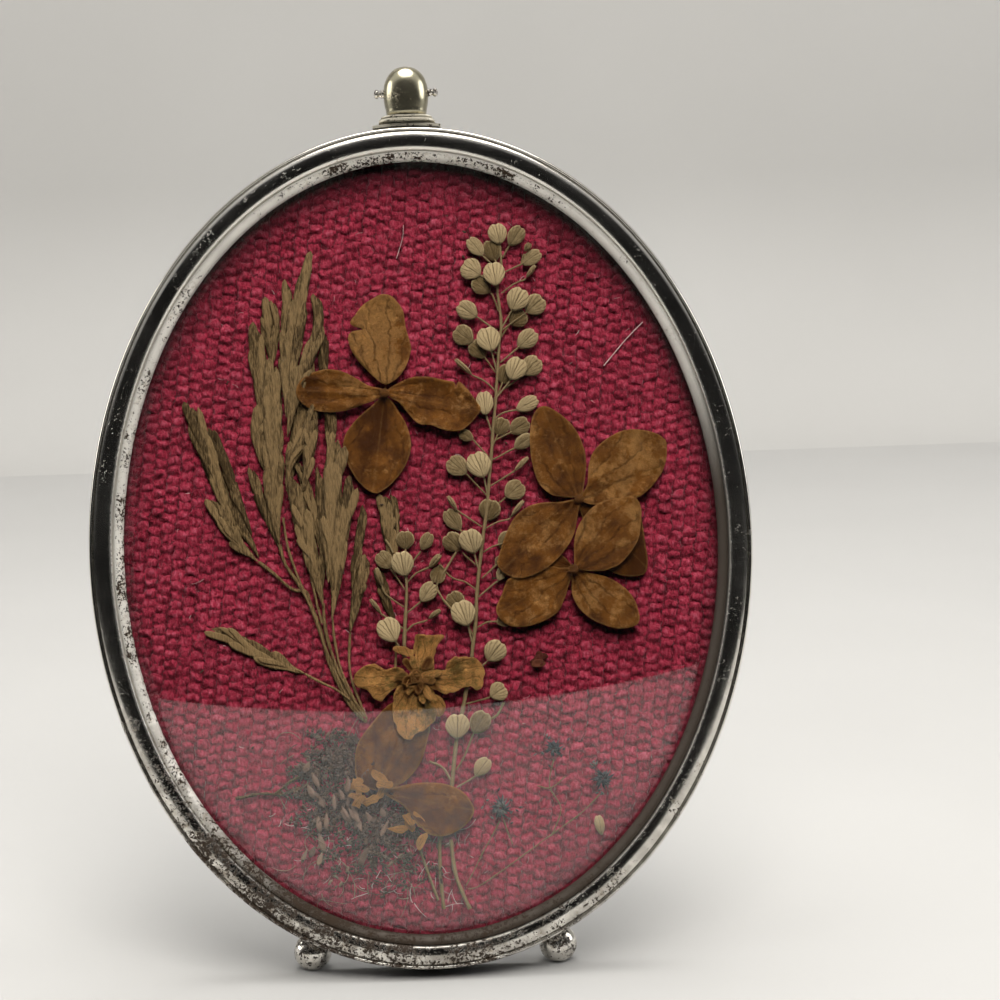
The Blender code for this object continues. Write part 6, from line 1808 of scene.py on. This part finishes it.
def blue_sprays():
    """Thread stems with tiny blue-black heads."""
    template = spike_template()
    for node, (layer, lines) in BLUE_STEMS.items():
        rng = random.Random(len(node))
        spots = []
        for (x, y), size, owner in BLUE_HEADS:
            if owner != node:
                continue
            pale = 0.85 if node == "blue_spray_left" else 0.3
            for k in range(46):
                turn = rng.uniform(0, 2 * math.pi)
                tilt = rng.uniform(-0.1, 1.0)
                long = size * rng.uniform(0.45, 1.0)
                away = rng.uniform(0.0, 0.5)
                spots.append(((x + away * math.cos(turn), y + away * math.sin(turn), LAYER[0] + 0.25),
                              (tilt, 0.0, turn), (1.1, long, 1.3), pale * rng.random() ** 1.3))
            for k in range(10):
                turn = rng.uniform(0, 2 * math.pi)
                away = rng.uniform(0.6, 1.35) * size
                spots.append(((x + away * math.cos(turn), y + away * math.sin(turn), LAYER[0] + 0.1),
                              (0.2, 0.0, rng.uniform(0, 6.3)), (1.0, 0.8, 1.2), 0.9 * rng.random()))
        head = copies(node + "_heads", template, spots, finish("blue"), wobble=0.25, wobble_scale=1.0)
        settle(head, "blue_flowers", node)
        paths = []
        for order, line in enumerate(lines):
            steps = rounded([(px, py, LAYER[layer] + 0.05 * order) for px, py in line], step=0.8)
            paths.append((steps, [0.085 + 0.015 * math.sin(i) for i in range(len(steps))], 0.30, False))
        settle(swept(node + "_threads", paths, tube(6), finish("stem"), wobble=0.12, wobble_scale=0.9),
               "blue_flowers", node)
    discard(template)


def loose_bits():
    """Pale debris low on the cloth, specks, one long hair and one pink fibre."""
    rng = random.Random(301)
    paths = []
    for _ in range(95):
        x, y = rng.uniform(-25.0, 6.0), rng.uniform(-55.0, -38.5)
        if (x / SIGHT_HALF[0]) ** 2 + (y / SIGHT_HALF[1]) ** 2 > 0.90:
            continue
        paths.append(thread(rng, x, y, rng.uniform(0.8, 3.6), LAYER[0] + rng.uniform(0.05, 0.22), 0.06,
                            rng.choice((0.35, 0.75, 0.95))))
    for _ in range(60):
        away = rng.random() ** 0.5
        turn = rng.uniform(0, 2 * math.pi)
        x, y = 0.93 * away * SIGHT_HALF[0] * math.cos(turn), 0.93 * away * SIGHT_HALF[1] * math.sin(turn)
        paths.append(thread(rng, x, y, rng.uniform(0.5, 1.6), LAYER[0] + 0.10, 0.045, rng.choice((0.4, 0.9))))
    for line, thick in (([(-1.0, 48.5), (-1.2, 46.5), (-2.2, 43.5)], 0.05),
                        ([(34.5, 32.6), (32.0, 30.2), (30.0, 28.0), (28.4, 26.2)], 0.09)):
        steps = rounded([(px, py, LAYER[0] + 0.15) for px, py in line], step=0.7)
        paths.append((steps, [thick] * len(steps), 0.8, False))
    item = swept("loose_fibres", paths, tube(5), finish("fibre"))
    settle(item, "dry_grass")
    heap = Heap()
    for k in range(26):
        away = rng.random() ** 0.5
        turn = rng.uniform(0, 2 * math.pi)
        x, y = 0.90 * away * SIGHT_HALF[0] * math.cos(turn), 0.92 * away * SIGHT_HALF[1] * math.sin(turn)
        crumple(heap, (x, y), (0.1, 0.1), 1, LAYER[0] + 0.05, 330 + k, rng.uniform(0.22, 0.5), 0.1)
    for k in range(40):
        x, y = rng.uniform(-17.0, 3.0), rng.uniform(-51.0, -40.0)
        crumple(heap, (x, y), (0.2, 0.2), 1, LAYER[0] + 0.10, 360 + k, rng.uniform(0.3, 0.75),
                rng.choice((0.1, 0.6, 0.9)))
    settle(heap.finish("loose_crumbs", finish("moss"), 0.08), "dark_moss")


# ---------------------------------------------------------------------- stage

CAMERA_AWAY = 0.350
VIEW_WIDTH = 0.1493
CAMERA_ELEVATION = math.radians(9.5)
CAMERA_AZIMUTH = math.radians(0.0)
CAMERA_ROLL = math.radians(-2.0)
AIM = (11.9, 6.9)
SENSOR = 36.0


def look_from():
    """The camera: close, a little above, and rolled so that the frame leans to the left."""
    camera = bpy.data.objects.new("camera", bpy.data.cameras.new("camera"))
    bpy.context.scene.collection.objects.link(camera)
    camera.data.sensor_width = SENSOR
    camera.data.lens = SENSOR * CAMERA_AWAY / VIEW_WIDTH
    camera.data.clip_start, camera.data.clip_end = 0.01, 20.0
    back = Vector((math.sin(CAMERA_AZIMUTH) * math.cos(CAMERA_ELEVATION),
                   -math.cos(CAMERA_AZIMUTH) * math.cos(CAMERA_ELEVATION), math.sin(CAMERA_ELEVATION)))
    turn = back.to_track_quat("Z", "Y") @ Matrix.Rotation(CAMERA_ROLL, 4, "Z").to_quaternion()
    target = FACE_CENTRE + turn @ Vector((AIM[0] * MM, AIM[1] * MM, 0.0))
    camera.location = target + back * CAMERA_AWAY
    camera.rotation_mode = "QUATERNION"
    camera.rotation_quaternion = turn
    bpy.context.scene.camera = camera


FLOOR_FRONT_LEFT = -0.14
FLOOR_FRONT_RIGHT = -0.74
FLOOR_BACK = 0.60
COVE = 0.10
FLOOR_HALF = 1.3


def plain_sheet(name, corners, material):
    """A flat sheet of the stage."""
    mesh = bpy.data.meshes.new(name)
    mesh.from_pydata(corners, [], [tuple(range(len(corners)))])
    mesh.materials.append(material)
    item = link(name, mesh)
    return item


def stage_material(name, base, lighter):
    """Matt stage paint with a faint cloud."""
    f = Finish(name, roughness=0.72)
    f.set("Base Color", f.mix(f.noise(14.0, 2.0, 0.5), base, lighter))
    f.set("Specular IOR Level", 0.3)
    return f.material


def stage():
    """A pale floor, a grey backdrop, soft light from above and a dim room in front."""
    floor = stage_material("pale_floor", (0.355, 0.349, 0.337), (0.385, 0.379, 0.366))
    wall = stage_material("grey_backdrop", (0.390, 0.382, 0.365), (0.415, 0.407, 0.390))
    plain_sheet("floor", [(-FLOOR_HALF, FLOOR_FRONT_LEFT, 0.0), (FLOOR_HALF, FLOOR_FRONT_RIGHT, 0.0),
                          (FLOOR_HALF, FLOOR_BACK - COVE, 0.0), (-FLOOR_HALF, FLOOR_BACK - COVE, 0.0)], floor)
    turns = [math.pi / 2 * k / 12 for k in range(13)]
    rise = [(FLOOR_BACK - COVE + COVE * math.sin(t), COVE - COVE * math.cos(t)) for t in turns]
    rise.append((FLOOR_BACK, 1.2))
    mesh = bpy.data.meshes.new("backdrop")
    mesh.from_pydata([(x, y, z) for y, z in rise for x in (-FLOOR_HALF, FLOOR_HALF)], [],
                     [(2 * k, 2 * k + 1, 2 * k + 3, 2 * k + 2) for k in range(len(rise) - 1)])
    mesh.materials.append(wall)
    mesh.shade_smooth()
    link("backdrop", mesh)
    for name, place, size, power, tint in (
            ("overhead", (0.02, 0.06, 0.85), 0.70, 8.5, (1.0, 0.985, 0.96)),
            ("fill", (0.12, -0.55, 0.80), 0.60, 9.5, (1.0, 0.975, 0.94)),
            ("side_left", (-0.75, 0.10, 0.35), 0.45, 1.8, (1.0, 0.98, 0.95)),
            ("side_right", (0.75, 0.08, 0.35), 0.45, 1.8, (0.98, 0.98, 1.0))):
        lamp = bpy.data.lights.new(name, "AREA")
        lamp.shape = "DISK"
        lamp.size = size
        lamp.energy = power
        lamp.color = tint
        item = bpy.data.objects.new(name, lamp)
        item.location = place
        item.rotation_mode = "QUATERNION"
        item.rotation_quaternion = (Vector(place) - Vector((0.0, 0.0, 0.06))).to_track_quat("Z", "Y")
        item.visible_glossy = item.visible_transmission = name != "fill"
        bpy.context.scene.collection.objects.link(item)
    room = bpy.data.worlds.new("room")
    bpy.context.scene.world = room
    room.use_nodes = True
    tree = room.node_tree
    way = tree.nodes.new("ShaderNodeTexCoord").outputs["Generated"]
    parts = tree.nodes.new("ShaderNodeSeparateXYZ")
    tree.links.new(way, parts.inputs[0])
    mix = tree.nodes.new("ShaderNodeMapRange")
    mix.interpolation_type = "SMOOTHSTEP"
    ahead = tree.nodes.new("ShaderNodeMath")
    ahead.operation = "MULTIPLY_ADD"
    tree.links.new(parts.outputs[2], ahead.inputs[0])
    ahead.inputs[1].default_value = 0.50
    tree.links.new(parts.outputs[1], ahead.inputs[2])
    tree.links.new(ahead.outputs[0], mix.inputs[0])
    for index, value in ((1, -0.30), (2, 0.30), (3, 0.008), (4, 0.85)):
        mix.inputs[index].default_value = value
    plain = tree.nodes.new("ShaderNodeMix")
    tree.links.new(tree.nodes.new("ShaderNodeLightPath").outputs["Is Camera Ray"], plain.inputs[0])
    tree.links.new(mix.outputs[0], plain.inputs[2])
    plain.inputs[3].default_value = 0.55
    tree.links.new(plain.outputs[0], tree.nodes["Background"].inputs["Strength"])
    tree.nodes["Background"].inputs["Color"].default_value = (0.98, 0.975, 0.965, 1.0)
    scene = bpy.context.scene
    scene.view_settings.view_transform = "Standard"
    scene.cycles.max_bounces = 6
    scene.cycles.diffuse_bounces = 1
    scene.cycles.glossy_bounces = 3
    scene.cycles.transmission_bounces = 4
    scene.cycles.caustics_reflective = False
    scene.cycles.caustics_refractive = False


# ------------------------------------------------------------------ operators

class Maker(Operator):
    """Shared behaviour: run the class's steps, and raise if one fails."""

    bl_options = {"REGISTER", "UNDO"}
    steps = ()

    def execute(self, context):
        """Make this operator's pieces."""
        for step in self.steps:
            step()
        return {"FINISHED"}


class FLOWERFRAME_OT_moulding(Maker):
    """Make the pressed oval moulding"""
    bl_idname = "flower_frame.moulding"
    bl_label = "Moulding"
    steps = (moulding,)


class FLOWERFRAME_OT_fittings(Maker):
    """Make the ball feet and the finial, and finish the back and strut"""
    bl_idname = "flower_frame.fittings"
    bl_label = "Feet, Finial and Back"
    steps = (ball_feet, finial, carried_fittings)


class FLOWERFRAME_OT_glass(Maker):
    """Make the domed glass"""
    bl_idname = "flower_frame.glass"
    bl_label = "Domed Glass"
    steps = (domed_glass,)


class FLOWERFRAME_OT_cloth(Maker):
    """Weave the crimson cloth"""
    bl_idname = "flower_frame.cloth"
    bl_label = "Woven Cloth"
    steps = (woven_cloth,)


class FLOWERFRAME_OT_flowers(Maker):
    """Press the hydrangea florets and the yellow flower"""
    bl_idname = "flower_frame.flowers"
    bl_label = "Flowers"
    steps = (florets, yellow_flower)


class FLOWERFRAME_OT_pepper_grass(Maker):
    """Lay the pepper-grass stems and their pods"""
    bl_idname = "flower_frame.pepper_grass"
    bl_label = "Pepper-grass"
    steps = (pepper_grass,)


class FLOWERFRAME_OT_grasses(Maker):
    """Lay the grass spikelets and their stalks"""
    bl_idname = "flower_frame.grasses"
    bl_label = "Grasses"
    steps = (grasses, stalks)


class FLOWERFRAME_OT_tuft(Maker):
    """Lay the dark tuft, the blue sprays and the loose bits"""
    bl_idname = "flower_frame.tuft"
    bl_label = "Tuft, Sprays and Bits"
    steps = (tuft, blue_sprays, loose_bits)


class FLOWERFRAME_OT_stage(Maker):
    """Set the floor, the lights and the camera"""
    bl_idname = "flower_frame.stage"
    bl_label = "Stage"
    steps = (look_from, stage)


MAKERS = (FLOWERFRAME_OT_stage, FLOWERFRAME_OT_moulding, FLOWERFRAME_OT_fittings, FLOWERFRAME_OT_glass,
          FLOWERFRAME_OT_cloth, FLOWERFRAME_OT_flowers, FLOWERFRAME_OT_pepper_grass,
          FLOWERFRAME_OT_grasses, FLOWERFRAME_OT_tuft)


class FLOWERFRAME_PT_panel(Panel):
    """The steps and settings, in the sidebar"""
    bl_idname = "FLOWERFRAME_PT_panel"
    bl_label = "Pressed Flower Frame"
    bl_space_type = "VIEW_3D"
    bl_region_type = "UI"
    bl_category = "Flower Frame"

    def draw(self, context):
        """List the steps and the settings."""
        for maker in MAKERS:
            self.layout.operator(maker.bl_idname)
        for label, group in GROUPS.items():
            box = self.layout.box()
            for prop in group.__annotations__:
                box.prop(getattr(context.scene, label), prop)


CLASSES = (*GROUPS.values(), *MAKERS, FLOWERFRAME_PT_panel)


def register():
    """Register the classes and attach the settings to scenes."""
    for item in CLASSES:
        bpy.utils.register_class(item)
    for label, group in GROUPS.items():
        setattr(bpy.types.Scene, label, PointerProperty(type=group))


def unregister():
    """Take the settings and classes away again."""
    for label in GROUPS:
        delattr(bpy.types.Scene, label)
    for item in reversed(CLASSES):
        bpy.utils.unregister_class(item)


def main():
    """Make every piece in order."""
    register()
    for maker in MAKERS:
        group, name = maker.bl_idname.split(".")
        getattr(getattr(bpy.ops, group), name)()


if __name__ == "__main__":
    main()
